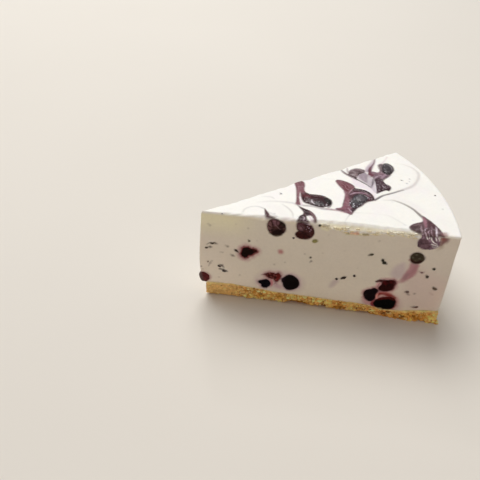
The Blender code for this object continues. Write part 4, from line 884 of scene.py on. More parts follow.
    # ---- upper edge: pale yellow cream where it is worn, painted lighter too where the rounding turns up to the light
    pale_lit_edge = np.array([0.93, 0.87, 0.69])
    p.line(((1.0, 40.6, 0.3, 0.3), (8.0, 40.6, 0.4, 0.6), (16.0, 40.4, 0.5, 0.8), (22.0, 40.1, 0.5, 0.8)), pale_lit_edge, 0.6, rag=0.35)
    p.line(((30.6, 40.1, 0.5, 0.6), (33.4, 40.0, 0.5, 0.7)), pale_lit_edge, 0.5, rag=0.3)
    p.line(((43.0, 40.6, 0.6, 0.9), (46.0, 40.6, 0.8, 1.0), (50.0, 40.5, 0.95, 1.0), (56.0, 40.4, 1.05, 1.0), (60.0, 40.3, 1.05, 1.0),
            (64.0, 40.5, 0.95, 1.0), (70.0, 40.7, 0.8, 0.95), (75.0, 40.8, 0.5, 0.8)), pale_lit_edge, 0.3, rag=0.35)
    p.line(((43.2, 38.9, 0.5, 0.5), (44.8, 38.6, 0.5, 0.5)), F(196, 182, 140), 0.5, rag=0.3)
    # ---- crumbs and yellow cream along the top edge
    p.line(((43.4, 39.6, 0.25, 0.5), (48.0, 39.4, 0.35, 0.7), (52.0, 39.2, 0.35, 0.8), (57.0, 39.3, 0.3, 0.8),
            (61.0, 39.7, 0.3, 0.7), (66.0, 39.9, 0.3, 0.6), (72.0, 39.8, 0.3, 0.5), (75.0, 40.0, 0.3, 0.4)),
           F(226, 212, 176), 0.4, rag=0.35)
    p.line(((50.4, 38.4, 0.25, 0.8), (52.0, 37.9, 0.3, 0.8), (55.0, 37.8, 0.35, 0.9), (57.2, 38.0, 0.3, 0.8),
            (59.4, 38.3, 0.25, 0.7)), F(164, 148, 112), 0.3, rag=0.2)
    p.spots(((53.6, 38.4, 0.6), (54.8, 38.4, 0.65), (55.4, 38.6, 0.4)), F(178, 138, 114), 0.45, 0.9, rag=0.3)
    p.spots(((51.9, 38.0, 0.55), (52.5, 37.7, 0.3), (57.9, 38.2, 0.5), (58.7, 38.4, 0.4)), F(138, 126, 90), 0.4, 0.85, rag=0.3)
    p.spots(((56.4, 38.7, 0.35), (52.6, 38.8, 0.3), (50.6, 38.9, 0.35), (60.0, 38.9, 0.3)), F(214, 202, 168), 0.25, rag=0.15)
    p.spots(((7.4, 40.6, 0.42),), F(44, 40, 30), 0.25, rag=0.1)


# ---------------------------------------------------------------- marks on the back cut
BACK_LOOKS = {
    # own colours: halo reach and strength, ring of juice, core
    "burst": (1.3, 0.60, (0.260, 0.030, 0.040), (0.020, 0.004, 0.005)),
    "cut": (1.0, 0.55, (0.240, 0.032, 0.040), (0.022, 0.003, 0.004)),
    "black": (0.8, 0.40, (0.100, 0.020, 0.028), (0.012, 0.005, 0.007)),
    "maroon": (0.6, 0.35, (0.110, 0.030, 0.036), (0.060, 0.018, 0.022)),
    "olive": (0.5, 0.25, (0.120, 0.070, 0.055), (0.060, 0.048, 0.034)),
}
PINK = np.array([0.620, 0.330, 0.350])


def draw_back(p):
    """p: a sheet with places (s, z) on the back cut. Colours are the cake's own."""
    for k, row in enumerate(BACK_BERRIES):
        reach, power, ring, core = BACK_LOOKS[row[7]]
        line = uneven_outline(row, 40 + k, 18)
        p.area(line, PINK, 0.35, 2.2, 1.2)
        p.area(line, PINK, power, reach, 0.8 * reach, rag=0.4, size=1.4)
        p.area(line, np.array(ring), 0.9, 0.4, 0.15, rag=0.3, size=1.0, wet=0.5)
        p.area(line, np.array(core), 1.0, 0.25, -0.05, rag=0.15, size=1.1, wet=0.8)
        for i in range(5):
            a = 2.4 * i + k
            s = row[1] + 0.55 * row[3] * math.cos(a)
            z = row[2] + 0.55 * row[4] * math.sin(a)
            p.spots(((s, z, 0.35, 0.7),), np.array(core) * 2.6 + np.array([0.02, 0.004, 0.004]), 0.35, rag=0.25)
    for rows, colour in (
        (((38.8, 10.6, 0.6, 0.8), (40.2, 12.4, 0.7, 0.8)), PINK * 0.8),
        (((67.4, 11.6, 0.8, 0.9), (68.4, 13.4, 0.7, 0.9)), PINK * 0.7),
        (((49.4, 30.4, 0.9, 0.5), (50.6, 32.0, 0.7, 0.4)), PINK),
        (((24.4, 22.2, 1.1, 0.5), (26.2, 20.6, 0.9, 0.4)), PINK),
        (((75.6, 26.4, 1.0, 0.6), (73.0, 23.6, 1.2, 0.7), (70.6, 20.4, 0.8, 0.5)), PINK * 0.85),
        (((9.4, 33.8, 0.7, 0.35), (10.4, 35.0, 0.6, 0.3)), PINK),
    ):
        p.line(rows, colour, 0.7, rag=0.4)
    # the strokes of the top run a little over the edge
    syrup = np.array([0.28, 0.11, 0.13])
    p.line(((40.6, 41.6, 1.3, 0.95), (41.0, 40.2, 1.1, 0.9), (41.4, 38.8, 0.8, 0.75), (41.6, 37.4, 0.4, 0.5)),
           syrup, 0.35, rag=0.3, wet=0.9, lift=0.10)
    p.line(((60.8, 41.6, 0.6, 0.95), (60.9, 40.2, 0.5, 0.85), (60.8, 39.0, 0.25, 0.6)), syrup * 0.8, 0.3, rag=0.2, wet=0.9)
    p.line(((77.8, 41.6, 0.5, 0.7), (77.8, 40.4, 0.4, 0.6), (77.6, 39.4, 0.2, 0.4)), syrup * 1.3, 0.3, rag=0.2, wet=0.8)
    p.line(((83.0, 41.6, 0.3, 0.5), (83.0, 40.6, 0.2, 0.3)), syrup * 1.6, 0.3)
    for k in range(38):
        h = [float(hashed(np.array([k]), np.array([i]), np.array([3]), 91)[0]) for i in range(6)]
        s, z = 3 + 84 * h[0], 8 + 30 * h[1]
        a = 3.0 * (h[2] - 0.5)
        n = 0.25 + 0.9 * h[3]
        tone = 0.03 + 0.30 * h[4] ** 2
        p.line(
            ((s - n * math.cos(a), z - n * math.sin(a), 0.15, 0.7), (s, z, 0.18 + 0.22 * h[5], 1.0),
             (s + n * math.cos(a + 0.4), z + n * math.sin(a + 0.4), 0.15, 0.7)),
            np.array([tone, tone * 0.8, tone * 0.62]), 0.26, 0.9, rag=0.1, lift=-0.10,
        )


# ---------------------------------------------------------------- the cream
def warp_plan(P):
    """Rounds the two upright corners at the rim."""
    P = P.copy()
    c = CORNER_R
    r = np.linalg.norm(P[:, :2], axis=1)
    b = R - r
    radial = P[:, :2] / np.maximum(r, 1e-9)[:, None]
    for out in (FRONT_OUT, BACK_OUT):
        a = -(P[:, :2] @ out[:2])
        near = (a < c) & (b < c)
        q0, q1 = c - a[near], c - b[near]
        size = np.hypot(q0, q1)
        f = np.where(size > 1e-9, np.maximum(q0, q1) / np.maximum(size, 1e-9), 1.0)
        da, db = q0 * (1 - f), q1 * (1 - f)
        P[near, :2] -= da[:, None] * out[:2] + db[:, None] * radial[near]
    return P


def tip_bulge(z):
    return np.interp(z, (4.5, 6.0, 8.0, 11.0, 15.0, 20.0, 25.0, 30.0, 36.0, 40.0, 42.0),
                     (0.3, 0.7, 1.15, 1.6, 1.9, 1.9, 1.6, 1.2, 0.75, 0.5, 0.45))


def place(r, theta, inset, z, bulge=True):
    P = np.stack([r * np.cos(theta), r * np.sin(theta), np.zeros_like(r)], 1)
    P[:, 0] -= 0.12 * (1 - smooth(r, 0.35, 2.0)) * np.cos(theta / HALF * math.pi / 2)
    P = warp_plan(P)
    k = 1.0 - inset / IN_R
    P[:, 0] = IN_D + (P[:, 0] - IN_D) * k
    P[:, 1] *= k
    z = np.broadcast_to(z, r.shape)
    if bulge:
        P[:, 0] -= tip_bulge(z) * (1 - smooth(P[:, 0], 0, 13))
    P[:, 2] = z
    return P


def soft_edge(r, theta):
    """Inset and drop of the rounding at the top edge, by place on the outline."""
    front = smooth(-theta / HALF, 0.3, 1.0)
    back = smooth(theta / HALF, 0.3, 1.0)
    worn = front * edge_drop(r) + back * (0.35 + 0.25 * wave1(0.31 * r, 4.0))
    wavy = 0.15 * wave1(0.9 * r, 2.0) * (front + back) * smooth(r, 4, 12)
    inset = (0.75 + 1.65 * worn + wavy) * (0.30 + 0.70 * smooth(r, 0, 9))
    drop = 0.75 + 1.45 * worn + 1.4 * wavy
    return np.maximum(inset, 0.15), np.maximum(drop, 0.4)


def zip_rows(a0, na, b0, nb):
    """Triangles between two rows of points that run the same way."""
    out = []
    i = j = 0
    while i < na or j < nb:
        if j == nb or (i < na and (i + 1) * nb <= (j + 1) * na):
            out.append((a0 + i, b0 + j, a0 + i + 1))
            i += 1
        else:
            out.append((a0 + i, b0 + j, b0 + j + 1))
            j += 1
    return out


def seam_line(side, br, bt):
    out = np.empty(len(br))
    for i, (k, r, t) in enumerate(zip(side, br, bt)):
        if k == "tip":
            out[i] = seam_height("front", 0.0)
        elif k == "rim":
            out[i] = seam_height("rim", R * (t + HALF))
        else:
            out[i] = seam_height(k, r)
    return out


def build_cream():
    step = 0.34
    K = int(round((R - 0.35) / step))
    radii = np.linspace(0.35, R, K + 1)
    counts = np.maximum(2, np.round(2 * HALF * radii / step).astype(int))
    starts = np.concatenate([[0], np.cumsum(counts + 1)[:-1]])
    rr = np.concatenate([np.full(n + 1, r) for r, n in zip(radii, counts)])
    th = np.concatenate([np.linspace(-HALF, HALF, n + 1) for n in counts])
    soft_in, _ = soft_edge(rr, th)
    cap = place(rr, th, soft_in, 41.0)
    cap[:, 2] = lid(cap[:, 0])
    faces = []
    for k in range(K):
        faces += zip_rows(starts[k], counts[k], starts[k + 1], counts[k + 1])

    # The outline's stations, in order: tip (back to front), front, rim, back.
    loop = [starts[0] + j for j in range(counts[0], -1, -1)]
    side = ["tip"] * len(loop)
    loop += [starts[k] for k in range(1, K + 1)]
    side += ["front"] * K
    loop += [starts[K] + j for j in range(1, counts[K] + 1)]
    side += ["rim"] * counts[K]
    loop += [starts[k] + counts[k] for k in range(K - 1, 0, -1)]
    side += ["back"] * (K - 1)
    loop = np.array(loop)
    S = len(loop)
    br, bt = rr[loop], th[loop]
    soft_in, soft_down = soft_edge(br, bt)
    heights = seam_line(side, br, bt)
    for _ in range(3):
        heights = 0.25 * np.roll(heights, 1) + 0.5 * heights + 0.25 * np.roll(heights, -1)
    heights_r = heights + 0.35 * fbm(place(br, bt, 0.0, 5.0), 1.6, 3, 31)

    rings = []
    body_steps = 82
    for i in range(body_steps):
        t = i / body_steps
        inset = 0.20 * (1 - smooth(t, 0.0, 0.02))
        P = place(br, bt, inset, heights)
        top = lid(P[:, 0]) - soft_down
        rings.append(place(br, bt, inset, heights_r + (top - heights_r) * t))
    soft_steps = 8
    for i in range(soft_steps):
        a = math.pi / 2 * i / soft_steps
        # where it is worn, the edge is a slope more than a rounding
        slope = np.clip((soft_in - 0.9) / 1.4, 0, 0.8)
        k = i / soft_steps
        inset = soft_in * ((1 - slope) * (1 - math.cos(a)) ** 1.1 + slope * k)
        P = place(br, bt, inset, 41.0)
        rings.append(place(br, bt, inset, lid(P[:, 0]) - soft_down * ((1 - slope) * (1 - math.sin(a)) + slope * (1 - k))))
    n_cap = len(cap)
    count_rings = len(rings)
    P = np.vstack([cap] + rings)

    def ring_index(k):
        """Vertex numbers of a ring. The last one is the cap's own edge."""
        return loop if k == count_rings else n_cap + k * S + np.arange(S)

    for k in range(count_rings):
        lo, hi = ring_index(k), ring_index(k + 1)
        lo2, hi2 = np.roll(lo, -1), np.roll(hi, -1)
        faces += np.stack([lo, lo2, hi2], 1).tolist()
        faces += np.stack([lo, hi2, hi], 1).tolist()
    # Underside: two inner rings and a middle point.
    lower = [place(br, bt, 4.0, heights), place(br, bt, 12.0, heights * 0 + BASE_H + 0.15)]
    base_index = len(P)
    middle = np.array([[IN_D, 0.0, BASE_H + 0.15]])
    P = np.vstack([P] + lower + [middle])
    order = [ring_index(0), base_index + np.arange(S), base_index + S + np.arange(S)]
    for hi, lo in zip(order, order[1:]):
        lo2, hi2 = np.roll(lo, -1), np.roll(hi, -1)
        faces += np.stack([lo, lo2, hi2], 1).tolist()
        faces += np.stack([lo, hi2, hi], 1).tolist()
    last = order[-1]
    centre = len(P) - 1
    faces += np.stack([np.full(S, centre), np.roll(last, -1), last], 1).tolist()
    return P, np.array(faces)


def faces_of(P):
    """How much each point belongs to the top, the front cut, the back cut, the rim."""
    u, z = P[:, 0], P[:, 2]
    r = np.hypot(u, P[:, 1])
    af, ab = -(P @ FRONT_OUT), -(P @ BACK_OUT)
    depth = lid(u) - z
    top = 1 - smooth(depth, 0.30, 1.25)
    side = 1 - top
    front = side * np.exp(-((np.clip(af - 0.3, 0, None) / 0.9) ** 2)) * (z > 2.5)
    back = side * np.exp(-((np.clip(ab - 0.3, 0, None) / 0.9) ** 2)) * (z > 2.5)
    rim = side * np.exp(-((np.clip(R - r - 0.2, 0, None) / 0.9) ** 2)) * (z > 2.5)
    back = np.clip(back * smooth(af - ab, -0.2, 0.6), 0, 1)
    front = np.clip(front * (1 - smooth(af - ab, 0.0, 1.2)), 0, 1)
    return top, front, back, rim


def cream_colour(P, top, front):
    """The cream's colour, with its slow changes. It is painted lighter at the foot, to make up for the light that does
    not reach it, and on the worn edge of the cut, as if lit.
    """
    sf, z = P @ FRONT_DIR, P[:, 2]
    n1 = fbm(P, 11.0, 3, 61)
    n2 = fbm(P, 3.4, 3, 65)
    cut = np.broadcast_to(F(173, 158, 139), (len(P), 3)).copy()
    yellow = (smooth(z, 27, 40) * (1 - smooth(sf, 8, 24)))[:, None]
    cut = cut * (1 - yellow) + F(186, 172, 140) * yellow
    warm = (0.45 * (1 - smooth(sf, 6, 26)) * (1 - smooth(z, 26, 34)))[:, None]
    cut = cut * (1 - warm) + F(180, 162, 143) * warm
    right = (smooth(sf, 62, 88) * 0.75)[:, None]
    cut = cut * (1 - right) + F(169, 153, 136) * right
    # less light reaches the foot
    low = 0.13 * (1 - smooth(z, 5, 24)) + 0.07 * (1 - smooth(z, 4, 12)) * smooth(sf, 76, 88)
    cut = np.clip(cut * (1 + low + 0.018 * n1 + 0.014 * n2)[:, None], 0, 0.96)
    lid_ = np.broadcast_to(T(253, 251, 243), (len(P), 3)).copy()
    k = smooth(n1, -0.1, 0.7)[:, None] * 0.6
    lid_ = lid_ * (1 - k) + T(247, 246, 239) * k
    k = smooth(fbm(P, 9.0, 2, 71), 0.0, 0.7)[:, None] * 0.45
    lid_ = lid_ * (1 - k) + T(250, 243, 242) * k
    plain = np.broadcast_to(np.array([0.905, 0.870, 0.795]), (len(P), 3)) * (1 + 0.02 * n1)[:, None]
    # yellowed cream on the worn edge; on the cut it is painted lighter as well, as if lit
    worn = smooth(z - lid(P[:, 0]) + 0.25 * n2, -2.6, -1.7) * (-(P @ FRONT_OUT) < 3.5)
    worn = (worn * smooth(sf, 41, 45) * (1 - smooth(sf, 73, 77)))[:, None]
    plain = plain * (1 - worn) + np.array([0.90, 0.85, 0.69]) * worn
    cut = cut * (1 - worn) + np.array([0.88, 0.82, 0.64]) * worn
    f = np.clip(front, 0, 1)[:, None]
    t = np.clip(top, 0, 1)[:, None]
    return lid_ * t + cut * f + plain * np.clip(1 - t - f, 0, 1)


def finish_cream(P, tris):
    N = normals_of(P, tris)
    u, y, z = P[:, 0], P[:, 1], P[:, 2]
    top, front, back, rim = faces_of(P)
    sf = P @ FRONT_DIR
    at_top, at_front = on_sheets(P)
    back_at = np.stack([P @ BACK_DIR, z], 1)
    a = Sheet(P, at_front, cream_colour(P, top, front), front)
    draw_front(a)
    b = Sheet(P, back_at, a.colour, back, a.wet, a.lift)
    draw_back(b)
    c = Sheet(P, at_top, b.colour, top, b.wet, b.lift)
    draw_top(c)
    colour, wet, lift = c.colour, c.wet, c.lift

    move = 0.10 * noise(P, 17.0, 3) * (1 - top) + 0.07 * noise(P, 14.0, 5) * top
    cut = np.clip(front + back, 0, 1)
    move += cut * (
        0.022 * noise(P, (7.0, 7.0, 1.1), 7)
        + 0.022 * fbm(P, (1.6, 1.6, 2.4), 3, 9)
        + 0.014 * noise(P, 0.8, 11)
    )
    move += rim * (0.030 * noise(P, (9.0, 9.0, 0.9), 13) + 0.02 * fbm(P, 1.8, 2, 15))
    edge = np.exp(-(((z - lid(u) + 1.3) / 0.8) ** 2)) * front
    where = 0.35 + 0.65 * smooth(sf, 40, 48) * (1 - smooth(sf, 76, 84))
    move += edge * where * (0.34 * fbm(P, (1.5, 1.5, 0.8), 3, 19) + 0.04)
    edge_b = np.exp(-(((z - lid(u) + 1.3) / 0.8) ** 2)) * back
    move += edge_b * 0.12 * fbm(P, (1.7, 1.7, 0.9), 3, 23)
    move += top * 0.030 * fbm(P, 4.5, 3, 27)
    move += lift
    gloss = smooth(wet, 0.5, 0.9) * top
    move += gloss * (0.07 * fbm(P, 1.5, 3, 33) + 0.03 * np.abs(noise(P, 0.9, 35)))
    # hollows for the berries
    facing = np.clip(front + top * (-(P @ FRONT_OUT) < 3.6), 0, 1)
    hollows = [(at_front, facing, row[0], 0.65, 0.06) for row in FRONT_SHAPES.values()]
    hollows += [(at_top, top, row[0], 0.60, 0.10) for row in TOP_SHAPES.values()]
    hollows += [(back_at, back, uneven_outline(row, 40 + k, 18), 0.65, 0.06) for k, row in enumerate(BACK_BERRIES)]
    for at, mask, outline, deep, lip in hollows:
        pts = np.asarray(outline)
        low, high = pts.min(0) - 1.5, pts.max(0) + 1.5
        idx = np.nonzero((mask > 0.02) & (at > low).all(1) & (at < high).all(1))[0]
        d = outside(at[idx], pts)
        move[idx] += mask[idx] * (-deep * (1 - smooth(d, -1.0, -0.1)) + lip * np.exp(-(((d - 0.35) / 0.38) ** 2)))
    # the berry at the tip
    near = smooth(-u, -6, -3) * (1 - top)
    gap = np.hypot(z - TIP_BERRY[1], 0.75 * np.hypot(u + 1.2, y)) - 2.4
    k = (near * 0.75 * (1 - smooth(gap, 0.0, 1.1)))[:, None]
    colour = colour * (1 - k) + F(146, 104, 98) * k
    move -= near * 0.25 * (1 - smooth(gap, -0.8, 0.1))
    return P + N * move[:, None], colour, np.clip(wet, 0, 1)


points, tris = build_cream()
points, tint, wet = finish_cream(points, tris)
cream = make_piece("cream_body", points, tris.tolist(), {"wet": wet}, {"tint": tint})


# ---------------------------------------------------------------- berries
def lay_front(q):
    """Points of the front sheet, laid over the front cut and round its top edge."""
    s, z = q[:, 0], q[:, 1]
    high = lid(s * math.cos(HALF)) - 0.15
    a = z - high
    e = 0.9
    over = 0.5 * (a + np.sqrt(a * a + e * e)) - 0.02
    under = 0.5 * (a - np.sqrt(a * a + e * e))
    inward = np.where(a < -3, 0.0, over / 0.738)
    under = np.where(a < -3, a, under)
    s_true = s + inward * (s - 40.0) / 160.4
    P = s_true[:, None] * FRONT_DIR - inward[:, None] * FRONT_OUT
    P[:, 2] = high + under
    P[:, 0] -= tip_bulge(P[:, 2]) * (1 - smooth(P[:, 0], 0, 13))
    t = smooth(a, -0.9, 0.9)[:, None]
    N = FRONT_OUT * (1 - t) + UP * t
    return P, N / np.linalg.norm(N, axis=1)[:, None]


def lay_top(q):
    """Points of the top's sheet, on the top itself."""
    Q = np.stack([q[:, 0] + 45.0, q[:, 1], np.full(len(q), SHEET_Z)], 1)
    P = Q
    for _ in range(2):
        t = (lid(P[:, 0]) - SHEET_Z) / (EYE[2] - SHEET_Z)
        P = Q + (EYE - Q) * t[:, None]
    return P, np.tile(UP, (len(P), 1))


def lay_back(q):
    P = q[:, :1] * BACK_DIR
    P[:, 2] = q[:, 1]
    return P, np.tile(BACK_OUT, (len(P), 1))


def lay_tip(q):
    """Bent round the upright edge at the tip: first place across, second height."""
    away = np.abs(q[:, 0])
    along = np.sqrt(away * away + 0.12) - 0.25
    P = np.where((q[:, 0] < 0)[:, None], along[:, None] * FRONT_DIR, along[:, None] * BACK_DIR)
    P[:, 0] -= tip_bulge(q[:, 1]) + 0.22
    P[:, 2] = q[:, 1]
    w = smooth(q[:, 0], -0.9, 0.9)[:, None]
    N = FRONT_OUT * (1 - w) + BACK_OUT * w
    return P, N / np.linalg.norm(N, axis=1)[:, None]


def berry_mesh(outline, dome, deep, wrinkle, lay, seed, around=72, rings_out=22, rings_in=9, shrink=0.99, flip=False):
    pts = bend(outline, 0.35, True)
    centre = 0.5 * (pts.max(0) + pts.min(0))
    rel = pts - centre
    ang = np.arctan2(rel[:, 1], rel[:, 0])
    rad = np.hypot(rel[:, 0], rel[:, 1])
    order = np.argsort(ang)
    ang, rad = ang[order], rad[order]
    a = np.linspace(-math.pi, math.pi, around, endpoint=False)
    edge = np.interp(a, np.concatenate([ang - 2 * math.pi, ang, ang + 2 * math.pi]), np.tile(rad, 3)) * shrink
    rim = np.stack([edge * np.cos(a), edge * np.sin(a), 0.0 * a], 1)
    edge = edge * (1 + 0.06 * noise(rim, 0.8, seed + 21) + 0.045 * noise(rim, 0.45, seed + 27))
    round_edge = np.full(around, edge.mean())
    if flip:
        a, edge = a[::-1], edge[::-1]
    q, h, f_all, outer = [centre[None]], [-deep], [0.0], [0.0]
    for i in range(1, rings_in + 1):
        t = math.pi / 2 * i / rings_in
        f, d = math.sin(t), -deep * math.cos(t)
        w = smooth(f, 0.3, 1.0)
        r = f * (round_edge * (1 - w) * 0.8 + edge * w)
        q.append(centre + np.stack([r * np.cos(a), r * np.sin(a)], 1))
        h += [d] * around
        f_all += [f] * around
        outer += [0.0] * around
    for i in range(1, rings_out + 1):
        f = 1 - (i / (rings_out + 1.0)) ** 1.1
        d = dome * (1 - f**2.6) ** 0.7
        r = f * edge
        q.append(centre + np.stack([r * np.cos(a), r * np.sin(a)], 1))
        h += [d] * around
        f_all += [f] * around
        outer += [1.0] * around
    q.append(centre[None])
    h.append(dome)
    f_all.append(0.0)
    outer.append(1.0)
    q, h, f_all, outer = np.vstack(q), np.array(h), np.array(f_all), np.array(outer)
    P, N = lay(q)
    local = P + N * h[:, None]
    ridges = 1 - np.abs(noise(local, 1.4, seed + 3))
    relief = 0.55 * fbm(local, 1.7, 3, seed + 5) + 0.6 * (ridges**3 - 0.4) + 0.2 * noise(local, 0.6, seed + 9)
    keep = 0.15 + 0.85 * (1 - smooth(f_all, 0.85, 1.0))
    P = P + N * (h + outer * wrinkle * relief * keep)[:, None]
    faces = []
    levels = rings_in + rings_out
    for j in range(around):
        faces.append((0, 1 + (j + 1) % around, 1 + j))
    for i in range(levels - 1):
        k = 1 + i * around + np.arange(around)
        b = np.roll(k, -1)
        faces += np.stack([k, b, b + around, k + around], 1).tolist()
    last = 1 + (levels - 1) * around
    for j in range(around):
        faces.append((last + j, last + (j + 1) % around, len(P) - 1))
    return P, faces, q


def join(parts):
    P, faces, colour, extra = [], [], [], []
    start = 0
    for p, f, c, e in parts:
        P.append(p)
        faces += [tuple(int(v) + start for v in face) for face in f]
        colour.append(c)
        extra.append(e)
        start += len(p)
    return np.vstack(P), faces, np.vstack(colour), np.concatenate(extra)


def kept_inside(P, slack=0.8):
    """Keeps a buried half from standing out of either cut or of the top."""
    for out in (FRONT_OUT, BACK_OUT):
        over = P @ out - slack
        P = P - np.outer(np.maximum(over, 0) * 0.9, out)
    P[:, 2] -= np.maximum(P[:, 2] - lid(P[:, 0]) - 0.95, 0) * 0.9
    return P


FLESH = np.array([0.03, 0.012, 0.012])
front_parts = []
for k, (name, (outline, dome, deep, wrinkle)) in enumerate(FRONT_SHAPES.items()):
    # those wholly on the cut were cut through: nearly flat
    flat = 1.0 if name in ("berry_front_01", "berry_front_02", "berry_front_08") else 0.5
    p, f, q = berry_mesh(outline, dome * flat, deep, wrinkle, lay_front, k)
    high = lid(q[:, 0] * math.cos(HALF))
    on_cut = 1 - smooth(q[:, 1] - high, -1.1, -0.3)
    top_at, _ = on_sheets(p)
    sheet = Sheet(p, q, np.tile(FLESH, (len(p), 1)), on_cut)
    draw_front(sheet)
    over = Sheet(p, top_at, sheet.colour, 1 - on_cut, sheet.wet)
    draw_top(over)
    front_parts.append((kept_inside(p), f, over.colour, np.maximum(over.wet, 0.5)))
# the berry on the upright edge at the tip, cut by both faces
name, z0, across, tall = TIP_BERRY
ring = np.linspace(0, 2 * math.pi, 20, endpoint=False)
outline = np.stack([across * np.cos(ring) * (1 + 0.05 * np.sin(3 * ring)) - 1.3, z0 + tall * np.sin(ring)], 1)
p, f, q = berry_mesh(outline, 0.55, 1.3, 0.10, lay_tip, 33, flip=True)
grey = smooth(q[:, 0], -1.9, -0.6)[:, None]
col = F(72, 27, 26) * (1 - grey) + F(78, 58, 54) * grey
col = col * (1 + 0.25 * fbm(p, 1.1, 3, 3))[:, None]
col = col * (1 - 0.5 * smooth(-q[:, 1], -8.2, -7.2)[:, None])
front_parts.append((p, f, np.clip(col, 0.002, 1), np.full(len(p), 0.6)))
front_nodes = list(FRONT_SHAPES) + [name]
P_, f_, c_, e_ = join(front_parts)
berries_front = make_piece("berries_front", P_, f_, {"wet": e_}, {"tint": c_})

back_parts = []
for k, row in enumerate(BACK_BERRIES):
    p, f, q = berry_mesh(uneven_outline(row, 40 + k, 18), row[9], row[5], 0.10, lay_back, 40 + k, flip=True)
    sheet = Sheet(p, q, np.tile(FLESH, (len(p), 1)), np.ones(len(p)))
    draw_back(sheet)
    back_parts.append((kept_inside(p), f, sheet.colour, np.maximum(sheet.wet, 0.5)))
P_, f_, c_, e_ = join(back_parts)
berries_back = make_piece("berries_back", P_, f_, {"wet": e_}, {"tint": c_})

top_parts = []
for k, (name, (outline, dome, deep, wrinkle)) in enumerate(TOP_SHAPES.items()):
    p, f, q = berry_mesh(outline, dome, deep, wrinkle, lay_top, 80 + k, 84, 26)
    # a raised point looks further from the eye than it is: draw it nearer
    rise = np.clip(p[:, 2] - lid(p[:, 0]), 0, None)
    toward = (EYE - p.mean(0)) / (EYE[2] - SHEET_Z)
    p[:, :2] += np.outer(rise * 0.6, toward[:2])
    top_at, _ = on_sheets(p)
    sheet = Sheet(p, top_at, np.tile(np.array([0.06, 0.045, 0.05]), (len(p), 1)), np.ones(len(p)))
    draw_top(sheet)
    # no cream on the rim of a dome
    pale = smooth(sheet.colour.mean(1), 0.55, 0.75)[:, None] * smooth(np.linalg.norm(q - q.mean(0), axis=1), 1.5, 2.5)[:, None]
    col = sheet.colour * (1 - pale) + np.array([0.07, 0.05, 0.055]) * pale
    top_parts.append((p, f, col, np.maximum(sheet.wet, 0.8)))
P_, f_, c_, e_ = join(top_parts)
berries_top = make_piece("berries_top", P_, f_, {"wet": e_}, {"tint": c_})


# ---------------------------------------------------------------- crumb base
def ramp_colour(t, stops):
    xs = [s[0] for s in stops]
    return np.stack([np.interp(t, xs, [s[1][k] for s in stops]) for k in range(3)], 1)


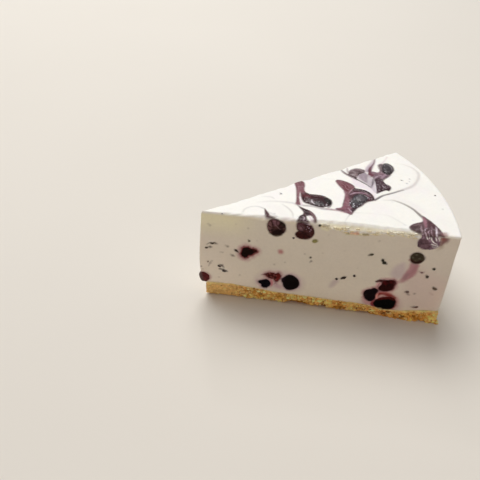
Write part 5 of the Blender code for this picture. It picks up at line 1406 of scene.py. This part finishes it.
def build_base():
    step = 0.235
    n_face = int(89 / step)
    stations = []
    for i in range(5):
        stations.append(("tip", 0.35, HALF - 2 * HALF * i / 4))
    for i in range(1, n_face + 1):
        stations.append(("front", 0.35 + (R - 0.35) * i / n_face, -HALF))
    n_rim = int(2 * HALF * R / step)
    for i in range(1, n_rim + 1):
        stations.append(("rim", R, -HALF + 2 * HALF * i / n_rim))
    for i in range(1, n_face):
        stations.append(("back", R - (R - 0.35) * i / n_face, HALF))
    side = [s[0] for s in stations]
    br = np.array([s[1] for s in stations])
    bt = np.array([s[2] for s in stations])
    S = len(br)
    heights = seam_line(side, br, bt)
    for _ in range(8):
        heights = 0.25 * np.roll(heights, 1) + 0.5 * heights + 0.25 * np.roll(heights, -1)
    front = smooth(-bt / HALF, 0.2, 1.0)
    # set back from the cream, but pressed out in front near the rim
    swell = front * smooth(br, 62, 76)
    setback = 0.38 * (1 - swell) - 0.25 * swell
    levels = 27
    rings = []
    for i in range(levels + 1):
        t = i / levels
        foot = 1 - smooth(t, 0.0, 0.35)
        inset = setback + 0.45 * (1 - smooth(t, 0.0, 0.10)) * (1 - swell) + 0.20 * smooth(t, 0.86, 1.0) - 0.65 * swell * foot
        ring = place(br, bt, inset, 0.0, False)
        ring[:, 0] -= 1.0 * (1 - smooth(ring[:, 0], 0, 10))
        ring[:, 2] = (heights + 0.12) * t
        rings.append(ring)
    P = np.vstack(rings)
    faces = []
    for k in range(levels):
        lo = k * S + np.arange(S)
        lo2 = np.roll(lo, -1)
        faces += np.stack([lo, lo2, lo2 + S], 1).tolist()
        faces += np.stack([lo, lo2 + S, lo + S], 1).tolist()
    # crumbs
    jitter = 0.35 * np.stack([fbm(P, 1.3, 2, 71 + i) for i in range(3)], 1)
    f1, f2, name1 = cells(P + jitter, (1.7, 1.7, 1.35), 61)
    g1, g2, name2 = cells(P + jitter, 0.80, 67)
    b1, b2, name3 = cells(P + jitter, 3.2, 73)
    N = normals_of(P, np.array(faces))
    N[:, 2] *= 0.5
    sf = P @ FRONT_DIR
    at_front = (-(P @ FRONT_OUT) < 1.8) * 1.0
    t = P[:, 2] / np.tile(heights, levels + 1)
    flat_part = smooth(fbm(P, (9.0, 9.0, 3.0), 2, 77), -0.1, 0.6) * 0.7
    flat_part = np.maximum(flat_part, at_front * (1 - smooth(sf, 9, 17)) * 0.85)
    flat_part *= 1 - at_front * smooth(sf, 20, 30) * (1 - smooth(t, 0.5, 0.8)) * 0.7
    loose = (0.25 + 0.85 * (1 - flat_part)) * (1.0 - 0.35 * smooth(t, 0.8, 1.0))
    move = loose * (
        0.50 * (0.52 - f1) + 0.22 * (0.5 - g1) + 0.40 * (name1 - 0.55) + 0.30 * (name3 - 0.55)
    )
    crack = (1 - smooth(f2 - f1, 0.0, 0.15)) * loose
    move -= 0.34 * crack
    low = 1 - smooth(t, 0.0, 0.30)
    bitten = smooth(fbm(P * (1, 1, 0), 4.0, 2, 81), -0.05, 0.5) * (1 - at_front * (1 - smooth(sf, 12, 22)))
    move -= low * bitten * 1.0
    gone = np.exp(-(((sf - 38.0) / 3.2) ** 2)) * at_front * (1 - smooth(P[:, 2], 0.7, 2.2))
    move -= 1.15 * gone
    keep_flat = smooth(P[:, 2], 0.0, 0.35)
    Q = P + N * np.clip(move, -2.6, 0.60)[:, None]
    Q[:, 2] = np.where(P[:, 2] <= 1e-6, 0.0, np.maximum(Q[:, 2] * keep_flat + P[:, 2] * (1 - keep_flat), 0.02))
    # colours of the crumbs
    fine = fbm(P, 0.55, 3, 85)
    tone = 0.34 * name1 + 0.18 * name2 + 0.26 * name3 + 0.16 + 0.13 * fine
    tone = tone * (1 - 0.45 * flat_part) + 0.55 * 0.45 * flat_part
    stops = (
        (0.10, F(100, 64, 18)), (0.30, F(132, 92, 46)), (0.50, F(160, 122, 74)),
        (0.70, F(176, 138, 82)), (0.90, F(194, 160, 104)),
    )
    colour = ramp_colour(tone, stops)
    olive = (smooth(name1, 0.60, 0.64) * (1 - smooth(name1, 0.72, 0.76)) * (1 - flat_part) * 0.30)[:, None]
    colour = colour * (1 - olive) + F(142, 116, 44) * olive
    pale = (smooth(name1, 0.86, 0.92) * smooth(0.5 - f1, 0.0, 0.3) * 0.25)[:, None]
    colour = colour * (1 - pale) + F(222, 196, 146) * pale
    left = (at_front * (1 - smooth(sf, 4, 22)) * 0.55)[:, None]
    colour = colour * (1 - left) + F(157, 121, 73) * left
    # painted shade: cracks, low hollows, sunken points and the worn-away foot are darkened
    hollow_shade = np.clip(0.62 * crack + 0.55 * low * bitten + 0.8 * gone + 0.45 * smooth(-move, 0.25, 0.8), 0, 0.92)[:, None]
    colour = colour * (1 - hollow_shade) + F(94, 54, 10) * hollow_shade
    # painted shade of larger crevices: dark patches low down where the mesh has none
    large_hollow_shade = (smooth(fbm(P, (3.4, 3.4, 2.4), 2, 93), 0.12, 0.45) * (1 - flat_part) * (1 - smooth(t, 0.50, 0.85)) * 0.7)[:, None]
    colour = colour * (1 - large_hollow_shade) + F(114, 78, 18) * large_hollow_shade
    lit = (smooth(name2, 0.78, 0.82) * smooth(0.46 - g1, 0.0, 0.2) * smooth(t, 0.25, 0.55) * (1 - 0.7 * flat_part) * 0.55)[:, None]
    colour = colour * (1 - lit) + F(206, 176, 118) * lit
    by_place = np.stack([np.interp(sf, (0, 12, 20, 30, 44, 52, 62, 70, 80, 84, 90), row) for row in (
        (0.92, 0.96, 1.22, 1.12, 1.10, 0.98, 1.04, 0.93, 0.88, 1.20, 1.28),
        (0.99, 1.00, 1.16, 1.16, 1.08, 0.90, 0.98, 0.78, 0.74, 1.08, 1.16),
        (1.12, 1.08, 1.22, 1.10, 1.06, 0.80, 0.98, 0.64, 0.52, 0.98, 1.16))], 1)
    colour = colour * (1 + (by_place - 1) * at_front[:, None])
    # the rim and the back stand in whiter light
    colour = colour * np.where(at_front[:, None] > 0.5, 1.0, (0.76, 0.85, 1.02))
    # cream soaked into the upper edge
    soak = (smooth(t + 0.12 * fine, 0.74, 1.02) * 0.70)[:, None]
    colour = colour * (1 - soak) + F(168, 142, 102) * soak
    n = len(Q)
    centre_low = np.array([[IN_D, 0.0, 0.0]])
    mid_high = np.array([[IN_D, 0.0, BASE_H + 0.05]])
    inner_low = place(br, bt, 5.0, 0.0, False)
    inner_high = place(br, bt, 5.0, BASE_H + 0.05, False)
    Q = np.vstack([Q, inner_low, inner_high, centre_low, mid_high])
    lo = np.arange(S)
    lo2 = np.roll(lo, -1)
    il, ih = n + lo, n + S + lo
    il2, ih2 = np.roll(il, -1), np.roll(ih, -1)
    hi = levels * S + lo
    hi2 = np.roll(hi, -1)
    faces += np.stack([il, il2, lo2], 1).tolist() + np.stack([il, lo2, lo], 1).tolist()
    faces += np.stack([hi, hi2, ih2], 1).tolist() + np.stack([hi, ih2, ih], 1).tolist()
    faces += np.stack([np.full(S, n + 2 * S), il2, il], 1).tolist()
    faces += np.stack([np.full(S, n + 2 * S + 1), ih, ih2], 1).tolist()
    extra = np.tile(F(150, 112, 66), (2 * S + 2, 1))
    return Q, faces, np.vstack([colour, extra])


P_, f_, c_ = build_base()
base = make_piece("crumb_body", P_, f_, None, {"tint": np.clip(c_ * (1.53, 1.46, 1.24), 0.004, 0.95)})


# ---------------------------------------------------------------- small things
def ball(detail):
    bm = bmesh.new()
    bmesh.ops.create_icosphere(bm, subdivisions=detail, radius=1.0)
    P = np.array([v.co[:] for v in bm.verts])
    faces = [tuple(v.index for v in f.verts) for f in bm.faces]
    bm.free()
    return P, faces


def lump(B, centre, axes, sizes, seed, rough=0.25):
    """A ball made uneven, stretched along three axes."""
    r = 1 + rough * fbm(B + seed * 7.3, 0.9, 3, seed) * 1.4
    return centre + (B * r[:, None] * sizes) @ np.array(axes)


BALL2, FACES2 = ball(2)
BALL3, FACES3 = ball(3)
rng = np.random.default_rng(7)

# Flecks of berry skin that stand a little out of the cream:
# (s, z, half length, half width, turn, colour)
FLECKS = (
    (4.6, 26.7, 0.42, 0.20, 0, (58, 48, 40)), (2.6, 24.5, 0.45, 0.20, 5, (74, 62, 52)),
    (6.9, 15.9, 0.50, 0.20, -30, (52, 40, 40)), (8.4, 13.5, 0.60, 0.17, -18, (48, 38, 38)),
    (12.6, 24.3, 0.50, 0.26, -35, (50, 36, 34)), (33.4, 33.3, 0.28, 0.26, 0, (36, 26, 24)),
    (41.2, 33.0, 0.62, 0.40, 20, (112, 102, 60)), (40.2, 25.2, 0.26, 0.26, 0, (66, 58, 46)),
    (61.6, 29.7, 0.42, 0.22, 25, (66, 60, 46)), (65.9, 27.6, 0.32, 0.30, 20, (38, 36, 28)),
    (66.5, 26.6, 0.42, 0.36, -30, (36, 34, 26)), (53.2, 17.1, 0.60, 0.30, 32, (44, 36, 32)),
    (50.7, 16.1, 0.32, 0.30, 60, (50, 42, 38)), (56.9, 18.8, 0.30, 0.28, 0, (52, 42, 40)),
    (84.0, 26.3, 0.36, 0.30, 15, (52, 46, 36)), (82.4, 22.4, 0.34, 0.30, 10, (60, 50, 42)),
    (86.2, 17.1, 0.52, 0.34, -30, (78, 62, 50)), (77.0, 13.9, 0.40, 0.26, 40, (88, 68, 60)),
    (81.6, 6.8, 0.46, 0.20, 10, (84, 56, 48)), (42.2, 40.1, 0.34, 0.30, 30, (40, 36, 30)),
    (7.4, 40.4, 0.36, 0.32, 0, (44, 40, 32)), (17.4, 29.6, 0.28, 0.20, 60, (88, 80, 60)),
    (3.2, 17.7, 0.30, 0.16, 30, (112, 98, 84)), (80.2, 24.1, 0.34, 0.22, 0, (110, 84, 78)),
)
flecks = []


def fleck(centre, d1, d2, out, a, b, high, colour, seed, B=BALL3, faces=FACES3):
    Q = lump(B, centre, (d1, d2, out), (a, b, high), seed, 0.5)
    flecks.append((Q, faces, np.tile(colour, (len(Q), 1)), np.full(len(Q), 0.4)))


for k, (s, z, a, b, turn, tone) in enumerate(FLECKS):
    t = math.radians(turn)
    P, N = lay_front(np.array([[s, z]]))
    across = np.cross(N[0], FRONT_DIR)
    across = across if across[2] > 0 else -across
    d1 = FRONT_DIR * math.cos(t) + across * math.sin(t)
    d2 = -FRONT_DIR * math.sin(t) + across * math.cos(t)
    fleck(P[0] + N[0] * 0.05, d1, d2, N[0], a * 1.35, b * 1.7, 0.20, F(*tone), 100 + k)
for k in range(24):
    s, z = rng.uniform(2, 88), rng.uniform(7.5, 39)
    t = rng.uniform(-1, 1)
    tone = rng.uniform(0.02, 0.12)
    fleck(BACK_DIR * s + UP * z - BACK_OUT * 0.06, BACK_DIR * math.cos(t) + UP * math.sin(t),
          -BACK_DIR * math.sin(t) + UP * math.cos(t), BACK_OUT, rng.uniform(0.2, 0.6), rng.uniform(0.15, 0.32),
          0.16, np.array([tone, tone * 0.8, tone * 0.62]), 200 + k, BALL2, FACES2)
for k in range(16):
    angle = rng.uniform(-HALF * 0.95, HALF * 0.95)
    z = rng.uniform(8, 39)
    aim = np.array([math.cos(angle), math.sin(angle), 0.0])
    around = np.array([-math.sin(angle), math.cos(angle), 0.0])
    tone = rng.uniform(0.04, 0.2)
    fleck(aim * (R - 0.08) + UP * z, around, UP, aim, rng.uniform(0.18, 0.5), rng.uniform(0.14, 0.28), 0.14,
          np.array([tone, tone * 0.82, tone * 0.66]), 300 + k, BALL2, FACES2)
for k, (x, y, a, b, turn) in enumerate(((-14.7, 6.1, 0.45, 0.26, 60), (42.0, -3.8, 0.28, 0.22, 0), (33.6, 7.9, 0.28, 0.20, 20))):
    P, _ = lay_top(np.array([[x, y]]))
    t = math.radians(turn)
    fleck(P[0] - UP * 0.03, np.array([math.cos(t), math.sin(t), 0]), np.array([-math.sin(t), math.cos(t), 0]), UP,
          a, b, 0.13, T(110, 106, 102), 400 + k)
P_, f_, c_, e_ = join(flecks)
skin_flecks = make_piece("skin_flecks", P_, f_, {"wet": e_}, {"tint": c_})

# Crumbs caught on the top edge of the front cut and round the base.
crumbs = []
EDGE_BITS = (
    # (s, z, half length, half height, colour)
    (51.4, 38.3, 0.55, 0.28, (206, 186, 140)), (52.3, 38.0, 0.40, 0.26, (128, 116, 78)),
    (53.2, 38.3, 0.50, 0.28, (190, 146, 112)), (54.5, 38.2, 0.55, 0.30, (196, 140, 108)),
    (55.6, 38.2, 0.35, 0.24, (176, 118, 88)), (56.5, 38.5, 0.40, 0.24, (216, 198, 154)),
    (57.8, 38.2, 0.45, 0.30, (124, 114, 74)), (58.9, 38.3, 0.42, 0.26, (136, 122, 82)),
    (60.1, 38.8, 0.36, 0.22, (214, 200, 162)), (49.4, 39.0, 0.45, 0.22, (220, 206, 168)),
    (63.0, 39.4, 0.36, 0.20, (222, 208, 172)), (67.4, 39.6, 0.40, 0.20, (220, 206, 170)),
)
for k, (s, z, a, b, colour) in enumerate(EDGE_BITS):
    P, N = lay_front(np.array([[s, z]]))
    Q = lump(BALL3, P[0] + N[0] * 0.06, (FRONT_DIR, UP, FRONT_OUT), (a, b, 0.22), 500 + k, 0.7)
    soft_tone = 0.45 * np.array(colour) + 0.55 * np.array((176, 152, 124))
    crumbs.append((Q, FACES3, np.tile(F(*soft_tone), (len(Q), 1)), np.zeros(len(Q))))
# ragged lumps of cream and crumbs along the worn part of the top edge
for k in range(48):
    s = 42.0 + 33.5 * rng.uniform() ** 1.1
    z = rng.uniform(39.0, 40.9) - 0.5 * float(smooth(s, 46, 52) * (1 - smooth(s, 60, 66)))
    P, N = lay_front(np.array([[s, z]]))
    tone = (0.90, 0.83, 0.62) if k % 4 else (0.82, 0.72, 0.48)
    if z > 40.2:
        tone = (0.93, 0.89, 0.74)
    Q = lump(BALL2, P[0] - N[0] * 0.02, (FRONT_DIR, UP, FRONT_OUT),
             (rng.uniform(0.5, 1.3), rng.uniform(0.22, 0.42), 0.24), 700 + k, 0.7)
    crumbs.append((Q, FACES2, np.tile(np.array(tone), (len(Q), 1)), np.zeros(len(Q))))
for k in range(230):
    where = rng.uniform(0, 240)
    bulge = 0.0
    if where < 88:
        pos, out = FRONT_DIR * (where + 1.5), FRONT_OUT
        along = FRONT_DIR
        top = float(seam_height("front", where))
        bulge = 0.75 * float(smooth(where, 64, 76))
        if 33 < where < 42 and rng.uniform() < 0.6:
            continue
    elif where < 150:
        angle = -HALF + 2 * HALF * (where - 88) / 62
        out = np.array([math.cos(angle), math.sin(angle), 0.0])
        pos, along = out * R, np.array([-math.sin(angle), math.cos(angle), 0.0])
        top = float(seam_height("rim", R * (angle + HALF)))
    else:
        pos, out = BACK_DIR * (240 - where), BACK_OUT
        along = BACK_DIR
        top = float(seam_height("back", 240 - where))
    size = rng.uniform(0.22, 0.60)
    z = rng.uniform(size * 0.8, top - 0.6)
    centre = pos - out * (0.36 - bulge * (1 - 0.6 * z / top)) + UP * z
    Q = lump(
        BALL2, centre, (along, UP, out),
        (size * rng.uniform(0.8, 1.3), size * rng.uniform(0.7, 1.0), size * 0.8), 600 + k, 0.6,
    )
    tone = rng.uniform(0, 1)
    col = ramp_colour(np.array([tone]), ((0.0, F(112, 74, 34)), (0.5, F(172, 132, 78)), (1.0, F(206, 170, 112))))[0]
    crumbs.append((Q, FACES2, np.tile(col, (len(Q), 1)), np.zeros(len(Q))))
P_, f_, c_, e_ = join(crumbs)
P_[:, 2] = np.maximum(P_[:, 2], 0.02)
loose_crumbs = make_piece("loose_crumbs", P_, f_, None, {"tint": c_})


# ---------------------------------------------------------------- materials
def new_material(name):
    mat = bpy.data.materials.new(name)
    mat.use_nodes = True
    tree = mat.node_tree
    return mat, tree, tree.nodes["Principled BSDF"]


class Nodes:
    def __init__(self, tree):
        self.tree = tree

    def node(self, kind, **values):
        n = self.tree.nodes.new(kind)
        for key, value in values.items():
            setattr(n, key, value)
        return n

    def link(self, a, b):
        self.tree.links.new(a, b)

    def attribute(self, name):
        return self.node("ShaderNodeAttribute", attribute_name=name, attribute_type="GEOMETRY")

    def put(self, socket, value):
        if isinstance(value, bpy.types.NodeSocket):
            self.link(value, socket)
        elif isinstance(value, (tuple, list)) and len(value) == 3:
            socket.default_value = (*value, 1.0)
        else:
            socket.default_value = value

    def mix(self, factor, a, b):
        n = self.node("ShaderNodeMix", data_type="RGBA", blend_type="MIX")
        self.put(n.inputs[0], factor)
        self.put(n.inputs[6], a)
        self.put(n.inputs[7], b)
        return n.outputs[2]

    def math(self, what, a, b=0.0, clamp=False):
        n = self.node("ShaderNodeMath", operation=what, use_clamp=clamp)
        self.put(n.inputs[0], a)
        self.put(n.inputs[1], b)
        return n.outputs[0]

    def noise(self, scale, detail=3.0, rough=0.5, vector=None, distortion=0.0):
        n = self.node("ShaderNodeTexNoise")
        n.inputs["Scale"].default_value = scale
        n.inputs["Detail"].default_value = detail
        n.inputs["Roughness"].default_value = rough
        n.inputs["Distortion"].default_value = distortion
        if vector is not None:
            self.link(vector, n.inputs["Vector"])
        return n.outputs["Fac"]

    def ramp(self, value, low, high, to_low=0.0, to_high=1.0):
        n = self.node("ShaderNodeMapRange")
        self.put(n.inputs[0], value)
        n.inputs[1].default_value = low
        n.inputs[2].default_value = high
        n.inputs[3].default_value = to_low
        n.inputs[4].default_value = to_high
        return n.outputs[0]

    def bump(self, height, strength, distance, before=None):
        n = self.node("ShaderNodeBump")
        n.inputs["Strength"].default_value = strength
        n.inputs["Distance"].default_value = distance
        self.link(height, n.inputs["Height"])
        if before is not None:
            self.link(before, n.inputs["Normal"])
        return n.outputs[0]

    def value(self, colour, factor):
        n = self.node("ShaderNodeHueSaturation")
        self.link(colour, n.inputs["Color"])
        self.link(factor, n.inputs["Value"])
        return n.outputs[0]


def cream_material():
    mat, tree, shader = new_material("set_cream")
    n = Nodes(tree)
    where = n.node("ShaderNodeTexCoord").outputs["Object"]
    blotch = n.noise(120.0, 3.0, 0.55, where)
    fine = n.noise(950.0, 4.0, 0.6, where)
    grain = n.noise(2600.0, 2.0, 0.5, where)
    wet = n.attribute("wet").outputs["Fac"]
    tint = n.attribute("tint").outputs["Color"]
    body = n.value(tint, n.ramp(fine, 0.30, 0.70, 0.975, 1.02))
    # syrup is streaky at a fine scale
    streak = n.noise(520.0, 3.0, 0.6, where, 0.9)
    amount = n.math("MULTIPLY", n.ramp(streak, 0.50, 0.72), n.math("MULTIPLY", wet, 0.30))
    body = n.mix(amount, body, (0.42, 0.30, 0.33))
    amount = n.math("MULTIPLY", n.ramp(streak, 0.48, 0.30), n.math("MULTIPLY", wet, 0.35))
    body = n.mix(amount, body, (0.03, 0.012, 0.018))
    n.link(body, shader.inputs["Base Color"])
    rough = n.ramp(wet, 0.2, 0.9, 0.52, 0.24)
    rough = n.math("ADD", rough, n.ramp(blotch, 0.3, 0.7, -0.04, 0.05))
    n.link(rough, shader.inputs["Roughness"])
    shader.inputs["Subsurface Weight"].default_value = 0.10
    shader.inputs["Subsurface Radius"].default_value = (1.0, 0.8, 0.55)
    shader.inputs["Subsurface Scale"].default_value = 0.0008
    shader.inputs["Specular IOR Level"].default_value = 0.22
    soft = n.bump(fine, 0.14, 0.00022)
    soft = n.bump(grain, 0.08, 0.00010, soft)
    ripple = n.math("MULTIPLY", n.noise(760.0, 3.0, 0.55, where, 1.0), n.ramp(wet, 0.3, 0.9))
    soft = n.bump(ripple, 0.45, 0.0004, soft)
    n.link(soft, shader.inputs["Normal"])
    return mat


def tinted_material(name, rough_low, rough_high, scale, bump, distance, spec, low=0.80, high=1.22):
    """For berries, flecks and crumbs: a colour of its own for each place, made
    uneven at a fine scale."""
    mat, tree, shader = new_material(name)
    n = Nodes(tree)
    where = n.node("ShaderNodeTexCoord").outputs["Object"]
    tint = n.attribute("tint").outputs["Color"]
    fine = n.noise(scale, 4.0, 0.6, where, 0.4)
    n.link(n.value(tint, n.ramp(fine, 0.3, 0.7, low, high)), shader.inputs["Base Color"])
    n.link(n.ramp(n.noise(scale * 0.6, 3.0, 0.5, where), 0.3, 0.7, rough_low, rough_high), shader.inputs["Roughness"])
    shader.inputs["Specular IOR Level"].default_value = spec
    n.link(n.bump(fine, bump, distance), shader.inputs["Normal"])
    return mat


def base_material():
    mat, tree, shader = new_material("pressed_crumbs")
    n = Nodes(tree)
    where = n.node("ShaderNodeTexCoord").outputs["Object"]
    tint = n.attribute("tint").outputs["Color"]
    fine = n.noise(1500.0, 4.0, 0.65, where)
    mid = n.noise(600.0, 3.0, 0.6, where)
    colour = n.value(tint, n.ramp(mid, 0.3, 0.7, 0.78, 1.18))
    colour = n.mix(n.ramp(fine, 0.52, 0.75, 0.0, 0.10), colour, tuple(float(v) for v in F(206, 174, 122)))
    colour = n.mix(n.ramp(fine, 0.42, 0.25, 0.0, 0.28), colour, tuple(float(v) for v in F(104, 66, 28)))
    n.link(colour, shader.inputs["Base Color"])
    n.link(n.ramp(fine, 0.3, 0.7, 0.72, 0.92), shader.inputs["Roughness"])
    shader.inputs["Specular IOR Level"].default_value = 0.2
    first = n.bump(mid, 0.5, 0.0006)
    n.link(n.bump(fine, 0.6, 0.0003, first), shader.inputs["Normal"])
    return mat


cream.data.materials.append(cream_material())
berries_front.data.materials.append(tinted_material("berry_cut", 0.42, 0.62, 650.0, 0.45, 0.0003, 0.05, 0.55, 1.45))
berries_back.data.materials.append(tinted_material("berry_behind", 0.30, 0.50, 800.0, 0.30, 0.0002, 0.22))
berries_top.data.materials.append(tinted_material("berry_wet", 0.18, 0.36, 620.0, 0.24, 0.0002, 0.26, 0.70, 1.30))
skin_flecks.data.materials.append(tinted_material("fleck_skin", 0.40, 0.60, 1500.0, 0.3, 0.0001, 0.10))
loose_crumbs.data.materials.append(tinted_material("crumb_grain", 0.70, 0.90, 1800.0, 0.7, 0.0002, 0.2))
base.data.materials.append(base_material())

# ---------------------------------------------------------------- what stands for what
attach(cream, "root")
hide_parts("filling")
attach(base, "root")
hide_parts("crumb_base")
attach(berries_front, "root")
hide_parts(*front_nodes)
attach(berries_back, "root")
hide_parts(*[row[0] for row in BACK_BERRIES])
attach(berries_top, "root")
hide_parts(*list(TOP_SHAPES))
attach(skin_flecks, "root")
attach(loose_crumbs, "root")

# ---------------------------------------------------------------- floor, light, camera
scene = bpy.context.scene

floor_mesh = bpy.data.meshes.new("floor")
floor_mesh.from_pydata(
    [(-6, -6, 0), (6, -6, 0), (6, 6, 0), (-6, 6, 0)], [], [(0, 1, 2, 3)]
)
floor = bpy.data.objects.new("floor", floor_mesh)
scene.collection.objects.link(floor)
mat, tree, shader = new_material("floor_pale")
n = Nodes(tree)
haze = n.noise(6.0, 2.0, 0.5, n.node("ShaderNodeTexCoord").outputs["Object"])
n.link(n.mix(haze, (0.74, 0.70, 0.64), (0.77, 0.73, 0.67)), shader.inputs["Base Color"])
shader.inputs["Roughness"].default_value = 0.85
shader.inputs["Specular IOR Level"].default_value = 0.1
floor_mesh.materials.append(mat)

AHEAD = np.array([0.17289, 0.98494, 0.0])
RIGHT = np.array([0.98494, -0.17289, 0.0])
TARGET = np.array([0.0, 0.0, 0.022])


def area_light(name, right, ahead, up, size, size_y, power, colour):
    data = bpy.data.lights.new(name, "AREA")
    data.shape = "RECTANGLE"
    data.size, data.size_y = size, size_y
    data.energy = power
    data.color = colour
    thing = bpy.data.objects.new(name, data)
    at = TARGET + RIGHT * right + AHEAD * ahead + UP * up
    thing.location = at
    thing.rotation_euler = Vector(TARGET - at).to_track_quat("-Z", "Y").to_euler()
    scene.collection.objects.link(thing)
    return thing


area_light("window", -0.25, 0.60, 1.10, 1.0, 0.7, 13.3, (1.0, 0.995, 0.98))
area_light("overhead", -0.05, 0.10, 1.15, 0.8, 0.8, 3.0, (1.0, 0.99, 0.97))
area_light("fill", 0.10, -1.20, 0.45, 1.4, 0.8, 3.2, (1.0, 0.76, 0.54))
area_light("glint", -0.15, 0.98, 0.80, 0.09, 0.09, 0.8, (1.0, 1.0, 1.0))

world = bpy.data.worlds.new("soft_room")
world.use_nodes = True
world.node_tree.nodes["Background"].inputs[0].default_value = (0.95, 0.95, 0.97, 1)
world.node_tree.nodes["Background"].inputs[1].default_value = 0.12
scene.world = world

PITCH, ROLL = 0.674204, 0.012651
fw = np.cos(PITCH) * AHEAD - np.sin(PITCH) * UP
up0 = np.cross(RIGHT, fw)
rv = math.cos(ROLL) * RIGHT + math.sin(ROLL) * up0
uv = -math.sin(ROLL) * RIGHT + math.cos(ROLL) * up0
cam_data = bpy.data.cameras.new("view")
cam_data.sensor_width = 36.0
cam_data.lens = 42.457
cam_data.clip_start = 0.01
cam_data.clip_end = 50.0
camera = bpy.data.objects.new("view", cam_data)
m = Matrix.Identity(4)
for i in range(3):
    m[i][0], m[i][1], m[i][2] = rv[i], uv[i], -fw[i]
m[0][3], m[1][3], m[2][3] = (APEX_X + EYE[0]) * 0.001, EYE[1] * 0.001, EYE[2] * 0.001
camera.matrix_world = m
scene.collection.objects.link(camera)
scene.camera = camera

scene.view_settings.view_transform = "Standard"
scene.view_settings.look = "None"
scene.view_settings.exposure = 0.0
